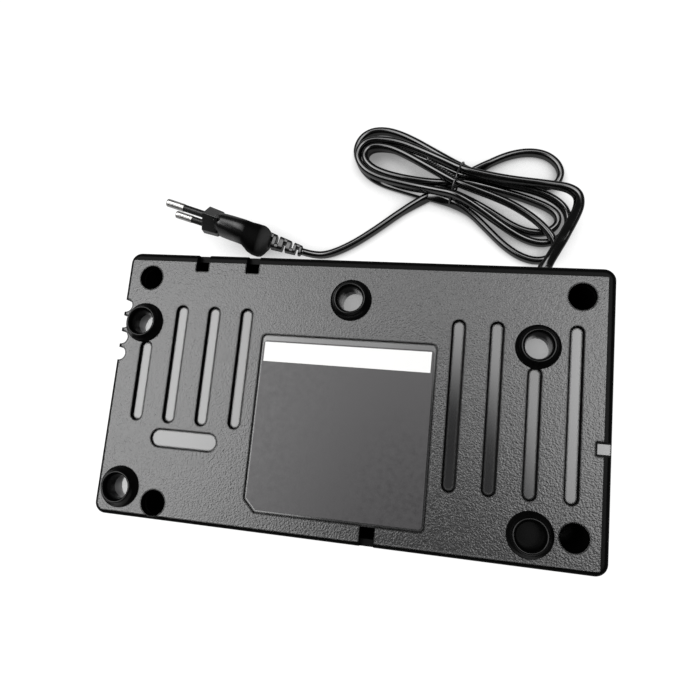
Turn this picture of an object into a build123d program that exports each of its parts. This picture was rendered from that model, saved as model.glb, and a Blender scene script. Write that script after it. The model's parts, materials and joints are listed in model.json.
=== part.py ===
from build123d import *
import os
from math import cos, pi, radians, sin, tan

# Power tool battery charger, lying on its flat top side with the underside and its feet up.
# Millimetres. +X runs along the case, +Y towards the wall that the mains cord leaves, +Z up.
# The origin is on the resting plane, under the middle of the case.

# ---------------------------------------------------------------- case
case_length = 194.0
case_width = 108.0
top_height = 46.0           # resting plane to parting line
base_height = 24.0          # parting line to underside plate
wall = 2.6
corner_radius = 4.5         # upright corners
base_rim_radius = 2.0       # rounded rim round the underside
top_rim_radius = 3.0        # rounded rim round the top side
fit_gap = 0.05              # radial play of a seated pin, sleeve or neck
seat_gap = 0.2              # play round a flat insert
overrun = 1.0               # how far a cutter runs past the skin it opens
lip_thickness = 1.1         # tongue of the top shell inside the base shell's rim
lip_height = 2.0

# ---------------------------------------------------------------- underside
groove_end_inset = 13.0     # the last groove's middle line, in from the end wall
groove_width = 5.0
groove_depth = 1.2
groove_draft = 24.0         # degrees
first_groove = 3            # each side's grooves lie 3, 4, 5 and 6 pitches from the middle
groove_count = 4
groove_back_y = 32.0
left_groove_front_y = -16.2
right_groove_front_y = -31.4
pill_length = 28.0
pill_width = 7.2
pill_depth = 0.8
pill_x = -62.2
pill_y = -22.3

recess_length = 69.0
recess_width = 68.7
recess_y = -12.2
recess_depth = 0.7
recess_round = 2.0
recess_chamfer = 4.6
label_margin = 0.9
label_top_margin = 2.4
label_thickness = 0.3

notch_width = 5.4
notch_reach = 7.2           # from the outer wall inwards
notch_drop = 3.0            # how far the rim is lowered
back_notch_x = (-63.8, -42.0)
front_notch_x = 14.0
side_notch_y = -11.2
side_notch_width = 5.0
side_notch_reach = 5.5
side_notch_depth = 1.5

# ---------------------------------------------------------------- screws and feet
well_radius = 5.0
well_wall = 1.5
well_floor = 3.0
well_depth = 30.0
post_radius = 4.4
screw_radius = 1.5
screw_head_radius = 3.3
screw_head_height = 2.4
screw_reach = 15.0          # under the head
screw_socket_depth = 1.3
# how far each screw is in from its corner's end wall and side wall
screw_insets = {
    "back_left": (11.0, 10.8),
    "front_left": (25.5, 6.4),
    "back_right": (11.6, 11.1),
    "front_right": (11.5, 12.0),
}

foot_radius = 8.2
foot_rim_radius = 6.1
foot_mouth_radius = 5.5
foot_height = 3.6
foot_bore_radius = 4.4
foot_sleeve_radius = 5.4
foot_edge = 0.6
pocket_depth = 3.6
pocket_wall = 1.5
# and each foot
foot_insets = {
    "back_left": (10.8, 30.0),
    "front_left": (10.4, 11.2),
    "back_right": (26.3, 30.5),
    "front_right": (26.1, 11.3),
}
foot_middle_inset = 16.5    # the middle foot, in from the back wall

# ---------------------------------------------------------------- air vents
vent_count = 4
vent_pitch = 6.75
vent_width = 5.4
vent_back_inset = 33.3      # middle of the row of vents, in from the back wall
vent_plan_depth = 4.0       # how far the vents reach into the underside plate
vent_base_reach = 20.0      # and down the base shell's end wall
inlet_low = 12.0
inlet_high = 42.0
outlet_count = 9
outlet_pitch = 7.0
outlet_width = 3.0
outlet_low = 14.0
outlet_high = 40.0

# ---------------------------------------------------------------- battery bay
bay_length = 82.0
bay_x = 16.0
bay_depth = 16.0
bay_back_y = 30.0
guide_width = 4.5
guide_thickness = 3.0
guide_length = 53.0
guide_front_gap = 7.0
block_length = 36.0
block_width = 13.0
block_height = 11.5
blade_count = 4
blade_pitch = 8.0
blade_thickness = 0.8
blade_height = 6.0
blade_reach = 12.0          # free length in front of the block
blade_root = 6.0            # length held in the block
blade_drop = 2.0            # blade top below the bay's roof

# ---------------------------------------------------------------- circuit board
board_length = 122.0
board_width = 76.0
board_thickness = 1.6
board_height = 24.0
board_end_gap = 37.0        # from the board to the right end wall's outside
board_y = -4.0
board_inset = 6.0
board_boss_radius = 3.2
board_screw_radius = 1.2
board_head_radius = 2.4
board_head_height = 1.8
board_screw_reach = 4.0     # below the board
rounding = 0.6              # edges of moulded components

# places on the board, from its middle along x
transformer_x = -13.0
core_length = 34.0
core_thickness = 11.0
core_plate = 5.0
core_window = 17.0
core_leg_radius = 5.0
core_side = 5.5
winding_radius = 10.8

sink_thickness = 3.0
sink_length = 30.0
sink_height = 26.0
primary_sink_x = 9.0
secondary_sink_x = -33.0
sink_y = 5.0
transistor_thickness = 4.6
transistor_width = 10.2
transistor_height = 15.0

bulk_cap = (23.0, -30.0, 9.0, 32.0)                     # x, y, radius, height
output_caps = ((-45.0, -26.0), (-32.0, -30.0))
output_cap_radius = 5.0
output_cap_height = 21.0
choke = (31.0, -7.0, 9.5, 4.2, 9.0)                     # x, y, radius, bore radius, height
safety_cap = (33.0, 22.0, 18.0, 8.0, 14.0)              # x, y, length, width, height
rectifier = (15.0, 28.0, 15.0, 4.5, 12.0)
control_chip = (-48.0, 0.0, 6.5, 10.2, 3.4)
mains_terminal = (52.0, 12.0, 9.0, 14.0, 10.0)
fan_terminal = (-55.0, 16.0, 6.0, 8.0, 7.0)
fuse_place = (48.0, -8.0)
fuse_radius = 2.6
fuse_length = 20.0
fuse_cap_length = 5.0
fuse_lift = 1.4             # glass above the board
clip_width = 7.4
led_pair = ((-41.0, -26.0), (-49.0, -26.0))
led_radius = 1.5
led_length = 5.0
pipe_radius = 2.0
pipe_flange_radius = 3.4
pipe_flange_thickness = 1.2
pipe_sink = 0.4             # window below the resting plane's skin

# ---------------------------------------------------------------- fan
fan_size = 30.0
fan_depth = 10.0
fan_height = 34.0
fan_wall_gap = 0.4
fan_bore_radius = 14.2
rotor_radius = 13.7
hub_radius = 6.6
hub_shell = 1.0
rotor_gap = 0.7
fan_blade_count = 7
fan_blade_chord = 7.0
fan_blade_thickness = 0.9
fan_blade_angle = 40.0      # degrees from the axis
shaft_radius = 1.0
bearing_radius = 2.2
motor_radius = 5.0
motor_plate = 1.4
strut_width = 2.2
cradle_back = 2.0
cradle_lip = 8.0
fan_rib_width = 10.0

# ---------------------------------------------------------------- mains cord
cord_diameter = 5.4
cord_inset = 21.0           # in from the right end wall
cord_height = 20.0
gland_neck_radius = 4.4
gland_flange_radius = 6.2
gland_flange = 1.6
relief_length = 20.0
relief_root_radius = 4.4
relief_tip_radius = 3.1
sheath_length = 23.6
clamp_gap = 18.8            # from the gland's inner face to the clamp's middle
clamp_length = 18.0
clamp_width = 7.0
clamp_thickness = 2.4
clamp_screw_pitch = 12.8
clamp_screw_radius = 1.2
clamp_screw_reach = 7.0
clamp_head_radius = 2.2
clamp_head_height = 1.6
lead_diameter = 1.8
lead_pitch = 2.2
lead_start_run = 4.0        # straight out of the sheath
lead_end_run = 5.0          # straight into the terminal
lead_bow = 3.0              # how far the leads swing to the side on their way
fan_lead_run = 6.0          # straight at both ends

plug_place = (-90.2, 88.4)  # middle of the plug's face in plan
plug_heading = 167.0        # degrees, from +X towards +Y
plug_lift = 14.0            # degrees, the nose is up on the tapered narrow edge
plug_face_width = 35.3
plug_face_thickness = 13.4
plug_face_flat = 23.0
plug_block_length = 8.0
plug_body_length = 35.0
plug_grip_width = 32.0
plug_grip_thickness = 12.4
plug_neck_width = 17.0
plug_neck_thickness = 12.0
plug_relief_length = 16.0
plug_relief_root = (9.0, 7.6)
plug_relief_tip = (6.2, 5.8)
plug_relief_slots = 3
plug_relief_slot = 1.6
pin_radius = 2.0
pin_sleeve_radius = 1.8
pin_core_radius = 1.4
pin_length = 19.0
pin_sleeve_length = 10.0
pin_spacing = 18.6
pin_root = 6.0

hank_layer = 5.8            # one layer of the flat cord on edge
hank_height = 11.2          # two layers
waist = (34.5, 115.2)       # where the tie holds the hank
waist_width = 19.6
waist_angle = -15.7         # degrees, the strands' direction there
tie_width = 1.6
tie_thickness = 0.8
tie_gap = 0.3

# Points of the cord's route between the gland's relief and the hank.
lead_points = [
    (79.8, 87.0, 15.5),
    (86.4, 94.6, 11.2),
    (90.2, 102.6, 9.2),
    (86.8, 110.4, 8.8),
    (77.0, 114.6, 8.5),
    (67.6, 116.9, 8.5),
    (58.5, 118.3, 8.5),
]

# Points of the cord's route between the plug's relief and the hank.
tail_points = [
    (-27.4, 76.8, 3.0),
    (-15.6, 82.6, 2.8),
    (-3.6, 91.2, 2.8),
    (8.4, 101.4, 2.8),
    (20.6, 110.0, 2.8),
]
first_run = 5.0             # straight run at each relief's end

# Outer edge of the hank in plan, and of its upper layer, anticlockwise.
hank_edge = [
    (37.1, 124.4), (18.1, 138.5), (5.4, 144.9), (-7.6, 147.4), (-16.1, 142.0), (-19.1, 132.0),
    (-14.8, 122.6), (-5.5, 116.7), (10.0, 111.2), (31.9, 106.1), (46.1, 95.4), (58.8, 84.0),
    (66.6, 79.0), (76.6, 76.8), (85.0, 81.4), (90.0, 89.6), (92.4, 98.0), (91.0, 106.0),
    (87.6, 112.6), (87.4, 120.5), (85.3, 128.8), (77.6, 135.2), (66.0, 136.0), (51.6, 132.2),
]
upper_edge = [
    (36.6, 123.2), (17.6, 137.2), (5.0, 143.7), (-7.3, 146.2), (-15.0, 141.2), (-17.8, 132.0),
    (-13.8, 123.5), (-5.0, 118.0), (10.3, 112.5), (32.3, 107.4), (44.0, 102.0), (54.0, 99.0),
    (60.0, 104.0), (62.0, 113.0), (60.0, 119.4), (50.0, 120.4),
]

# ---------------------------------------------------------------- worked out from the above
case_height = top_height + base_height
half_length = case_length / 2
half_width = case_width / 2
inner_length = case_length - 2 * wall
inner_width = case_width - 2 * wall
inner_radius = corner_radius - wall
plate_under = case_height - wall
lip_top = top_height + lip_height
well_seat = case_height - well_depth
well_bottom = well_seat - well_floor


def in_from(corner, inset):
    """The place that lies this far in from the two walls of a corner, such as back_left."""
    x = half_length - inset[0]
    y = half_width - inset[1]
    return -x if corner.endswith("left") else x, y if corner.startswith("back") else -y


screw_places = [in_from(*screw) for screw in screw_insets.items()]
foot_places = {"foot_" + corner: in_from(corner, inset) for corner, inset in foot_insets.items()}
foot_places["foot_back_middle"] = (0, half_width - foot_middle_inset)
vent_y = half_width - vent_back_inset
cord_x = half_length - cord_inset
groove_pitch = (half_length - groove_end_inset) / (first_groove + groove_count - 1)
bay_roof = bay_depth + wall
bay_left = bay_x - bay_length / 2
bay_right = bay_x + bay_length / 2
board_top = board_height + board_thickness
board_x = half_length - board_end_gap - board_length / 2
led_places = [(board_x + x, y) for x, y in led_pair]
board_corners = [
    (board_x + sx * (board_length / 2 - board_inset), board_y + sy * (board_width / 2 - board_inset))
    for sx in (-1, 1)
    for sy in (-1, 1)
]
vent_places = [vent_y + (i - (vent_count - 1) / 2) * vent_pitch for i in range(vent_count)]
outlet_places = [(i - (outlet_count - 1) / 2) * outlet_pitch for i in range(outlet_count)]
fan_left = -half_length + wall + fan_wall_gap
fan_right = fan_left + fan_depth
fan_low = fan_height - fan_size / 2
fan_high = fan_height + fan_size / 2
cord_radius = cord_diameter / 2
gland_inner_y = half_width - wall - gland_flange
clamp_y = gland_inner_y - clamp_gap
relief_end_y = half_width + relief_length
block_front_y = bay_back_y - block_width
blade_top = bay_depth - blade_drop
blade_places = [bay_x + (i - (blade_count - 1) / 2) * blade_pitch for i in range(blade_count)]
clamp_seat = cord_height + cord_radius
plug_nose = Vector(
    cos(radians(plug_heading)) * cos(radians(plug_lift)),
    sin(radians(plug_heading)) * cos(radians(plug_lift)),
    sin(radians(plug_lift)),
)
plug_side = Vector(sin(radians(plug_heading)), -cos(radians(plug_heading)), 0)
plug_rest = plug_block_length * sin(radians(plug_lift)) + plug_face_width / 2 * cos(radians(plug_lift))
plug_centre = Vector(*plug_place, plug_rest)
plug_face = Plane(origin=plug_centre, x_dir=plug_side, z_dir=plug_nose)
pin_places = [(0, side * pin_spacing / 2) for side in (-1, 1)]
plug_end = plug_centre - plug_nose * (plug_body_length + plug_relief_length)
lead_route = [(cord_x, relief_end_y, cord_height), (cord_x, relief_end_y + first_run, cord_height)]
lead_route += lead_points
tail_route = [tuple(plug_end), tuple(plug_end - plug_nose * first_run)] + tail_points
clamp_screws = [(cord_x + s * clamp_screw_pitch / 2, clamp_y) for s in (-1, 1)]

os.makedirs("parts", exist_ok=True)


def save(part, name):
    part.label = name
    export_step(part, f"parts/{name}.step")


def groove_span(x):
    """Front and back end of the groove at x. One that meets a foot starts under its flange."""
    front = left_groove_front_y if x < 0 else right_groove_front_y
    back = groove_back_y
    for foot_x, foot_y in foot_places.values():
        if abs(foot_x - x) < foot_rim_radius and front < foot_y < back + foot_radius:
            back = foot_y - foot_radius + foot_edge
    return front, back


# ---------------------------------------------------------------- base shell
with BuildPart() as base_shell:
    with BuildSketch(Plane.XY.offset(top_height)):
        RectangleRounded(case_length, case_width, corner_radius)
    extrude(amount=base_height)
    fillet(base_shell.faces().sort_by(Axis.Z)[-1].edges(), radius=base_rim_radius)
    with BuildSketch(Plane.XY.offset(top_height)):
        RectangleRounded(inner_length, inner_width, inner_radius)
    extrude(amount=base_height - wall, mode=Mode.SUBTRACT)
    # rebate for the top shell's lip
    rebate = lip_thickness + seat_gap
    with BuildSketch(Plane.XY.offset(top_height)):
        RectangleRounded(inner_length + 2 * rebate, inner_width + 2 * rebate, inner_radius + rebate)
    extrude(amount=lip_height + seat_gap, mode=Mode.SUBTRACT)
    # screw wells: tubes that stay clear of the top shell below the lip, and join the wall above it
    tube_radius = well_radius + well_wall
    with BuildSketch(Plane.XY.offset(well_bottom)):
        with Locations(*screw_places):
            Circle(tube_radius)
        RectangleRounded(
            inner_length - 2 * seat_gap, inner_width - 2 * seat_gap, inner_radius, mode=Mode.INTERSECT
        )
    extrude(amount=plate_under - well_bottom)
    with BuildSketch(Plane.XY.offset(lip_top + seat_gap)):
        with Locations(*screw_places):
            Circle(tube_radius)
        RectangleRounded(
            inner_length + wall, inner_width + wall, inner_radius + wall / 2, mode=Mode.INTERSECT
        )
    extrude(amount=plate_under - lip_top - seat_gap)
    # bosses behind the foot pockets, and the rib that holds the fan down
    with BuildSketch(Plane.XY.offset(plate_under)):
        with Locations(*foot_places.values()):
            Circle(foot_sleeve_radius + pocket_wall)
    extrude(amount=wall - pocket_depth - pocket_wall)
    with BuildSketch(Plane.XY.offset(plate_under)):
        with Locations(((fan_left + fan_right) / 2, vent_y)):
            Rectangle(fan_depth / 2, fan_rib_width)
    extrude(amount=fan_high - plate_under)
    # wells, screw holes and foot pockets
    with BuildSketch(Plane.XY.offset(case_height)):
        with Locations(*screw_places):
            Circle(well_radius)
    extrude(amount=-well_depth, mode=Mode.SUBTRACT)
    with BuildSketch(Plane.XY.offset(well_seat)):
        with Locations(*screw_places):
            Circle(screw_radius + fit_gap)
    extrude(amount=-well_floor, mode=Mode.SUBTRACT)
    with BuildSketch(Plane.XY.offset(case_height)):
        with Locations(*foot_places.values()):
            Circle(foot_sleeve_radius + fit_gap)
    extrude(amount=-pocket_depth, mode=Mode.SUBTRACT)
    # grooves
    with BuildSketch(Plane.XY.offset(case_height)):
        for side in (-1, 1):
            for i in range(groove_count):
                groove_x = side * (first_groove + i) * groove_pitch
                front, back = groove_span(groove_x)
                with Locations((groove_x, (front + back) / 2)):
                    SlotOverall(back - front, groove_width, rotation=90)
    extrude(amount=-groove_depth, taper=groove_draft, mode=Mode.SUBTRACT)
    with BuildSketch(Plane.XY.offset(case_height)):
        with Locations((pill_x, pill_y)):
            SlotOverall(pill_length, pill_width)
    extrude(amount=-pill_depth, taper=groove_draft / 2, mode=Mode.SUBTRACT)
    # label recess with one cut corner
    with BuildSketch(Plane.XY.offset(case_height)) as recess_plan:
        with Locations((0, recess_y)):
            Rectangle(recess_length, recess_width)
        corners = recess_plan.vertices().group_by(Axis.Y)
        fillet(corners[-1] + corners[0].sort_by(Axis.X)[-1:], radius=recess_round)
        cut_corner = recess_plan.vertices().group_by(Axis.Y)[0].sort_by(Axis.X)[0]
        chamfer(cut_corner, length=recess_chamfer)
    extrude(amount=-recess_depth, mode=Mode.SUBTRACT)
    # snap notches
    with BuildSketch(Plane.XY.offset(case_height)):
        with Locations(*[(x, half_width - notch_reach / 2 + overrun / 2) for x in back_notch_x]):
            Rectangle(notch_width, notch_reach + overrun)
        with Locations((front_notch_x, -half_width + notch_reach / 2 - overrun / 2)):
            Rectangle(notch_width, notch_reach + overrun)
    extrude(amount=-notch_drop, mode=Mode.SUBTRACT)
    with BuildSketch(Plane.XY.offset(case_height)):
        with Locations((half_length - side_notch_reach / 2 + overrun / 2, side_notch_y)):
            Rectangle(side_notch_reach + overrun, side_notch_width)
    extrude(amount=-side_notch_depth, mode=Mode.SUBTRACT)
    # vents that wrap over the left rim
    with BuildSketch(Plane.XY.offset(case_height)):
        vent_overall = 2 * (vent_plan_depth + overrun)
        with Locations(*[(-half_length - overrun, y) for y in vent_places]):
            SlotOverall(vent_overall, vent_width)
    extrude(amount=-vent_base_reach, mode=Mode.SUBTRACT)
save(base_shell.part, "base_shell")

# ---------------------------------------------------------------- top shell
with BuildPart() as top_shell:
    with BuildSketch():
        RectangleRounded(case_length, case_width, corner_radius)
    extrude(amount=top_height)
    fillet(top_shell.faces().sort_by(Axis.Z)[0].edges(), radius=top_rim_radius)
    with BuildSketch(Plane.XY.offset(wall)):
        RectangleRounded(inner_length, inner_width, inner_radius)
    extrude(amount=top_height - wall, mode=Mode.SUBTRACT)
    with BuildSketch(Plane.XY.offset(top_height)):
        RectangleRounded(
            inner_length + 2 * lip_thickness, inner_width + 2 * lip_thickness, inner_radius + lip_thickness
        )
        RectangleRounded(inner_length, inner_width, inner_radius, mode=Mode.SUBTRACT)
    extrude(amount=lip_height)
    # posts under the screw wells, clear of the wells' tubes
    with BuildSketch(Plane.XY.offset(wall)):
        with Locations(*screw_places):
            Circle(post_radius)
        RectangleRounded(
            inner_length + wall, inner_width + wall, inner_radius + wall / 2, mode=Mode.INTERSECT
        )
    extrude(amount=well_bottom - wall)
    # bosses under the circuit board, and the seat of the cord clamp
    with BuildSketch(Plane.XY.offset(wall)):
        with Locations(*board_corners):
            Circle(board_boss_radius)
    extrude(amount=board_height - wall)
    with BuildSketch(Plane.XY.offset(wall)):
        with Locations((cord_x, clamp_y)):
            Rectangle(clamp_length, clamp_width)
    extrude(amount=clamp_seat - wall)
    with BuildSketch(Plane.XY.offset(clamp_seat)):
        with Locations((cord_x, clamp_y)):
            Rectangle(cord_diameter + seat_gap, clamp_width)
    extrude(amount=-cord_diameter, mode=Mode.SUBTRACT)
    with BuildSketch(Plane.XY.offset(clamp_seat)):
        with Locations(*clamp_screws):
            Circle(clamp_screw_radius + fit_gap)
    extrude(amount=-clamp_screw_reach, mode=Mode.SUBTRACT)
    # cradle for the fan
    with BuildSketch(Plane.XY.offset(wall)):
        with Locations(((fan_left + fan_right + cradle_back) / 2, vent_y)):
            Rectangle(fan_depth + cradle_back, fan_size - 2 * overrun)
    extrude(amount=fan_low - wall)
    with BuildSketch(Plane.XY.offset(fan_low)):
        with Locations((fan_right + cradle_back / 2, vent_y)):
            Rectangle(cradle_back, fan_size - 2 * overrun)
    extrude(amount=cradle_lip)
    with BuildSketch(Plane.XY.offset(fan_low)):
        with Locations((fan_right + cradle_back / 2, vent_y)):
            Rectangle(cradle_back + 2 * overrun, fan_size / 2)
    extrude(amount=cradle_lip, mode=Mode.SUBTRACT)
    # battery bay, open to the front and to the top side
    with BuildSketch():
        with Locations((bay_x, (bay_back_y + wall - half_width + wall) / 2)):
            Rectangle(bay_length + 2 * wall, bay_back_y + half_width)
    extrude(amount=bay_roof)
    with BuildSketch():
        with Locations((bay_x, (bay_back_y - half_width - overrun) / 2)):
            Rectangle(bay_length, bay_back_y + half_width + overrun)
    extrude(amount=bay_depth, mode=Mode.SUBTRACT)
    # guides that hold the battery's rails
    with BuildSketch():
        guide_y = -half_width + guide_front_gap + guide_length / 2
        with Locations(
            (bay_left + guide_width / 2, guide_y),
            (bay_right - guide_width / 2, guide_y),
        ):
            Rectangle(guide_width, guide_length)
    extrude(amount=guide_thickness)
    # slots for the blades' tails
    with BuildSketch(Plane.XY.offset(bay_depth)):
        with Locations(*[(x, block_front_y + blade_root / 2) for x in blade_places]):
            Rectangle(blade_thickness + 2 * fit_gap, blade_root + 2 * fit_gap)
    extrude(amount=wall, mode=Mode.SUBTRACT)
    # screw, cord and window holes
    with BuildSketch(Plane.XY.offset(well_bottom)):
        with Locations(*screw_places):
            Circle(screw_radius + fit_gap)
    extrude(amount=well_seat - screw_reach - well_bottom, mode=Mode.SUBTRACT)
    with BuildSketch(Plane.XY.offset(board_height)):
        with Locations(*board_corners):
            Circle(board_screw_radius + fit_gap)
    extrude(amount=-board_screw_reach, mode=Mode.SUBTRACT)
    with BuildSketch():
        with Locations(*led_places):
            Circle(pipe_radius + fit_gap)
    extrude(amount=wall, mode=Mode.SUBTRACT)
    with BuildSketch(Plane.XZ.offset(-half_width - overrun)):
        with Locations((cord_x, cord_height)):
            Circle(gland_neck_radius + fit_gap)
    extrude(amount=wall + 2 * overrun, mode=Mode.SUBTRACT)
    # air inlet in the left end wall, outlet in the right one
    with BuildSketch(Plane.YZ.offset(-half_length - overrun)):
        with Locations(*[(y, (inlet_low + inlet_high) / 2) for y in vent_places]):
            SlotOverall(inlet_high - inlet_low, vent_width, rotation=90)
    extrude(amount=wall + 2 * overrun, mode=Mode.SUBTRACT)
    with BuildSketch(Plane.YZ.offset(half_length - wall - overrun)):
        with Locations(*[(y, (outlet_low + outlet_high) / 2) for y in outlet_places]):
            SlotOverall(outlet_high - outlet_low, outlet_width, rotation=90)
    extrude(amount=wall + 2 * overrun, mode=Mode.SUBTRACT)
save(top_shell.part, "top_shell")

# ---------------------------------------------------------------- rubber feet
for foot_name, (foot_x, foot_y) in foot_places.items():
    with BuildPart() as foot:
        with BuildSketch(Plane.XZ.offset(-foot_y)):
            with BuildLine():
                Polyline(
                    (foot_x + foot_bore_radius, case_height - pocket_depth),
                    (foot_x + foot_sleeve_radius, case_height - pocket_depth),
                    (foot_x + foot_sleeve_radius, case_height),
                    (foot_x + foot_radius, case_height),
                    (foot_x + foot_radius, case_height + foot_edge),
                    (foot_x + foot_rim_radius, case_height + foot_height),
                    (foot_x + foot_mouth_radius, case_height + foot_height),
                    (foot_x + foot_bore_radius, case_height - pocket_depth),
                )
            make_face()
        revolve(axis=Axis((foot_x, foot_y, 0), (0, 0, 1)))
    save(foot.part, foot_name)

# ---------------------------------------------------------------- screws
with BuildPart() as case_screws:
    with BuildSketch(Plane.XY.offset(well_seat)):
        with Locations(*screw_places):
            Circle(screw_head_radius)
    extrude(amount=screw_head_height)
    with BuildSketch(Plane.XY.offset(well_seat)):
        with Locations(*screw_places):
            Circle(screw_radius)
    extrude(amount=-screw_reach)
    with BuildSketch(Plane.XY.offset(well_seat + screw_head_height)):
        with Locations(*screw_places):
            Rectangle(screw_head_radius, screw_radius / 2)
            Rectangle(screw_radius / 2, screw_head_radius)
    extrude(amount=-screw_socket_depth, mode=Mode.SUBTRACT)
save(case_screws.part, "case_screws")

# ---------------------------------------------------------------- rating label
with BuildPart() as rating_label:
    with BuildSketch(Plane.XY.offset(case_height - recess_depth)):
        label_length = recess_length - 2 * label_margin
        label_width = recess_width - label_margin - label_top_margin
        with Locations((0, recess_y + (label_margin - label_top_margin) / 2)):
            sticker = Rectangle(label_length, label_width)
        chamfer(
            sticker.vertices().group_by(Axis.Y)[0].sort_by(Axis.X)[0],
            length=recess_chamfer - label_margin / 2,
        )
    extrude(amount=label_thickness)
save(rating_label.part, "rating_label")

# ---------------------------------------------------------------- circuit board and its screws
with BuildPart() as circuit_board:
    with BuildSketch(Plane.XY.offset(board_height)):
        with Locations((board_x, board_y)):
            Rectangle(board_length, board_width)
        with Locations(*board_corners):
            Circle(board_screw_radius + fit_gap, mode=Mode.SUBTRACT)
    extrude(amount=board_thickness)
save(circuit_board.part, "circuit_board")

with BuildPart() as board_screws:
    with BuildSketch(Plane.XY.offset(board_top)):
        with Locations(*board_corners):
            Circle(board_head_radius)
    extrude(amount=board_head_height)
    with BuildSketch(Plane.XY.offset(board_top)):
        with Locations(*board_corners):
            Circle(board_screw_radius)
    extrude(amount=-board_thickness - board_screw_reach)
save(board_screws.part, "board_screws")


# ---------------------------------------------------------------- parts on the board
def moulded_block(name, place):
    x, y, length, width, height = place
    with BuildPart() as block:
        with BuildSketch(Plane.XY.offset(board_top)):
            with Locations((board_x + x, y)):
                Rectangle(length, width)
        extrude(amount=height)
        fillet(block.faces().sort_by(Axis.Z)[-1].edges(), radius=rounding)
    save(block.part, name)


moulded_block("safety_capacitor", safety_cap)
moulded_block("bridge_rectifier", rectifier)
moulded_block("control_chip", control_chip)
moulded_block("mains_terminal", mains_terminal)
moulded_block("fan_terminal", fan_terminal)


def can(name, places, radius, height):
    """Electrolytic capacitors: cans with a crimped groove and a rounded top."""
    places = [(board_x + x, y) for x, y in places]
    with BuildPart() as cans:
        with BuildSketch(Plane.XY.offset(board_top)):
            with Locations(*places):
                Circle(radius)
        extrude(amount=height)
        fillet(cans.faces().group_by(Axis.Z)[-1].edges(), radius=rounding)
        with BuildSketch(Plane.XY.offset(board_top + 3 * rounding)):
            with Locations(*places):
                Circle(radius)
                Circle(radius - rounding, mode=Mode.SUBTRACT)
        extrude(amount=rounding, mode=Mode.SUBTRACT)
    save(cans.part, name)


can("bulk_capacitor", [bulk_cap[:2]], bulk_cap[2], bulk_cap[3])
can("output_capacitors", output_caps, output_cap_radius, output_cap_height)

with BuildPart() as filter_choke:
    with BuildSketch(Plane.XY.offset(board_top)):
        with Locations((board_x + choke[0], choke[1])):
            Circle(choke[2])
            Circle(choke[3], mode=Mode.SUBTRACT)
    extrude(amount=choke[4])
    fillet(filter_choke.edges().filter_by(GeomType.CIRCLE), radius=rounding)
save(filter_choke.part, "filter_choke")

core_height = 2 * core_plate + core_window
core_x = board_x + transformer_x
with BuildPart() as transformer_core:
    with BuildSketch(Plane.XY.offset(board_top)):
        with Locations((core_x, 0)):
            Rectangle(core_thickness, core_length)
    extrude(amount=core_height)
    with BuildSketch(Plane.XY.offset(board_top + core_plate)):
        with Locations((core_x, 0)):
            Rectangle(core_thickness, core_length - 2 * core_side)
            Circle(core_leg_radius, mode=Mode.SUBTRACT)
    extrude(amount=core_window, mode=Mode.SUBTRACT)
save(transformer_core.part, "transformer_core")

with BuildPart() as transformer_winding:
    with BuildSketch(Plane.XY.offset(board_top + core_plate)):
        with Locations((core_x, 0)):
            Circle(winding_radius)
            Circle(core_leg_radius + fit_gap, mode=Mode.SUBTRACT)
    extrude(amount=core_window)
save(transformer_winding.part, "transformer_winding")


def sink_with_device(sink_name, device_name, sink_x, side):
    """A flat heat sink on edge, and the power device on its face towards side."""
    sink_x += board_x
    with BuildPart() as sink:
        with BuildSketch(Plane.XY.offset(board_top)):
            with Locations((sink_x, sink_y)):
                Rectangle(sink_thickness, sink_length)
        extrude(amount=sink_height)
        fillet(sink.edges().filter_by(Axis.X).group_by(Axis.Z)[-1], radius=rounding)
    save(sink.part, sink_name)
    with BuildPart() as device:
        with BuildSketch(Plane.XY.offset(board_top + sink_height - transistor_height)):
            with Locations((sink_x + side * (sink_thickness + transistor_thickness) / 2, sink_y)):
                Rectangle(transistor_thickness, transistor_width)
        extrude(amount=transistor_height - rounding)
        with BuildSketch(Plane.XY.offset(board_top)):
            with Locations(
                *[
                    (sink_x + side * (sink_thickness + transistor_thickness) / 2, sink_y + leg)
                    for leg in (-transistor_width / 4, 0, transistor_width / 4)
                ]
            ):
                Rectangle(rounding, rounding)
        extrude(amount=sink_height - transistor_height)
    save(device.part, device_name)


sink_with_device("primary_heat_sink", "switching_transistor", primary_sink_x, 1)
sink_with_device("secondary_heat_sink", "output_diode", secondary_sink_x, -1)

fuse_x = board_x + fuse_place[0]
fuse_y = fuse_place[1]
fuse_z = board_top + fuse_lift + fuse_radius
fuse_end = fuse_y + fuse_length / 2
with BuildPart() as fuse_glass:
    with BuildSketch(Plane.XZ.offset(-fuse_end + fuse_cap_length)):
        with Locations((fuse_x, fuse_z)):
            Circle(fuse_radius)
    extrude(amount=fuse_length - 2 * fuse_cap_length)
save(fuse_glass.part, "fuse_glass")

with BuildPart() as fuse_caps:
    for cap_start in (fuse_end, fuse_end - fuse_length + fuse_cap_length):
        with BuildSketch(Plane.XZ.offset(-cap_start)):
            with Locations((fuse_x, fuse_z)):
                Circle(fuse_radius)
        extrude(amount=fuse_cap_length)
save(fuse_caps.part, "fuse_caps")

with BuildPart() as fuse_clips:
    for cap_start in (fuse_end, fuse_end - fuse_length + fuse_cap_length):
        with BuildSketch(Plane.XZ.offset(-cap_start + rounding)):
            with Locations((fuse_x, (board_top + fuse_z) / 2)):
                Rectangle(clip_width, fuse_z - board_top)
            with Locations((fuse_x, fuse_z)):
                Circle(fuse_radius + fit_gap, mode=Mode.SUBTRACT)
        extrude(amount=fuse_cap_length - 2 * rounding)
save(fuse_clips.part, "fuse_clips")

with BuildPart() as status_leds:
    with BuildSketch(Plane.XY.offset(board_height)):
        with Locations(*led_places):
            Circle(led_radius)
    extrude(amount=-led_length)
save(status_leds.part, "status_leds")

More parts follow.
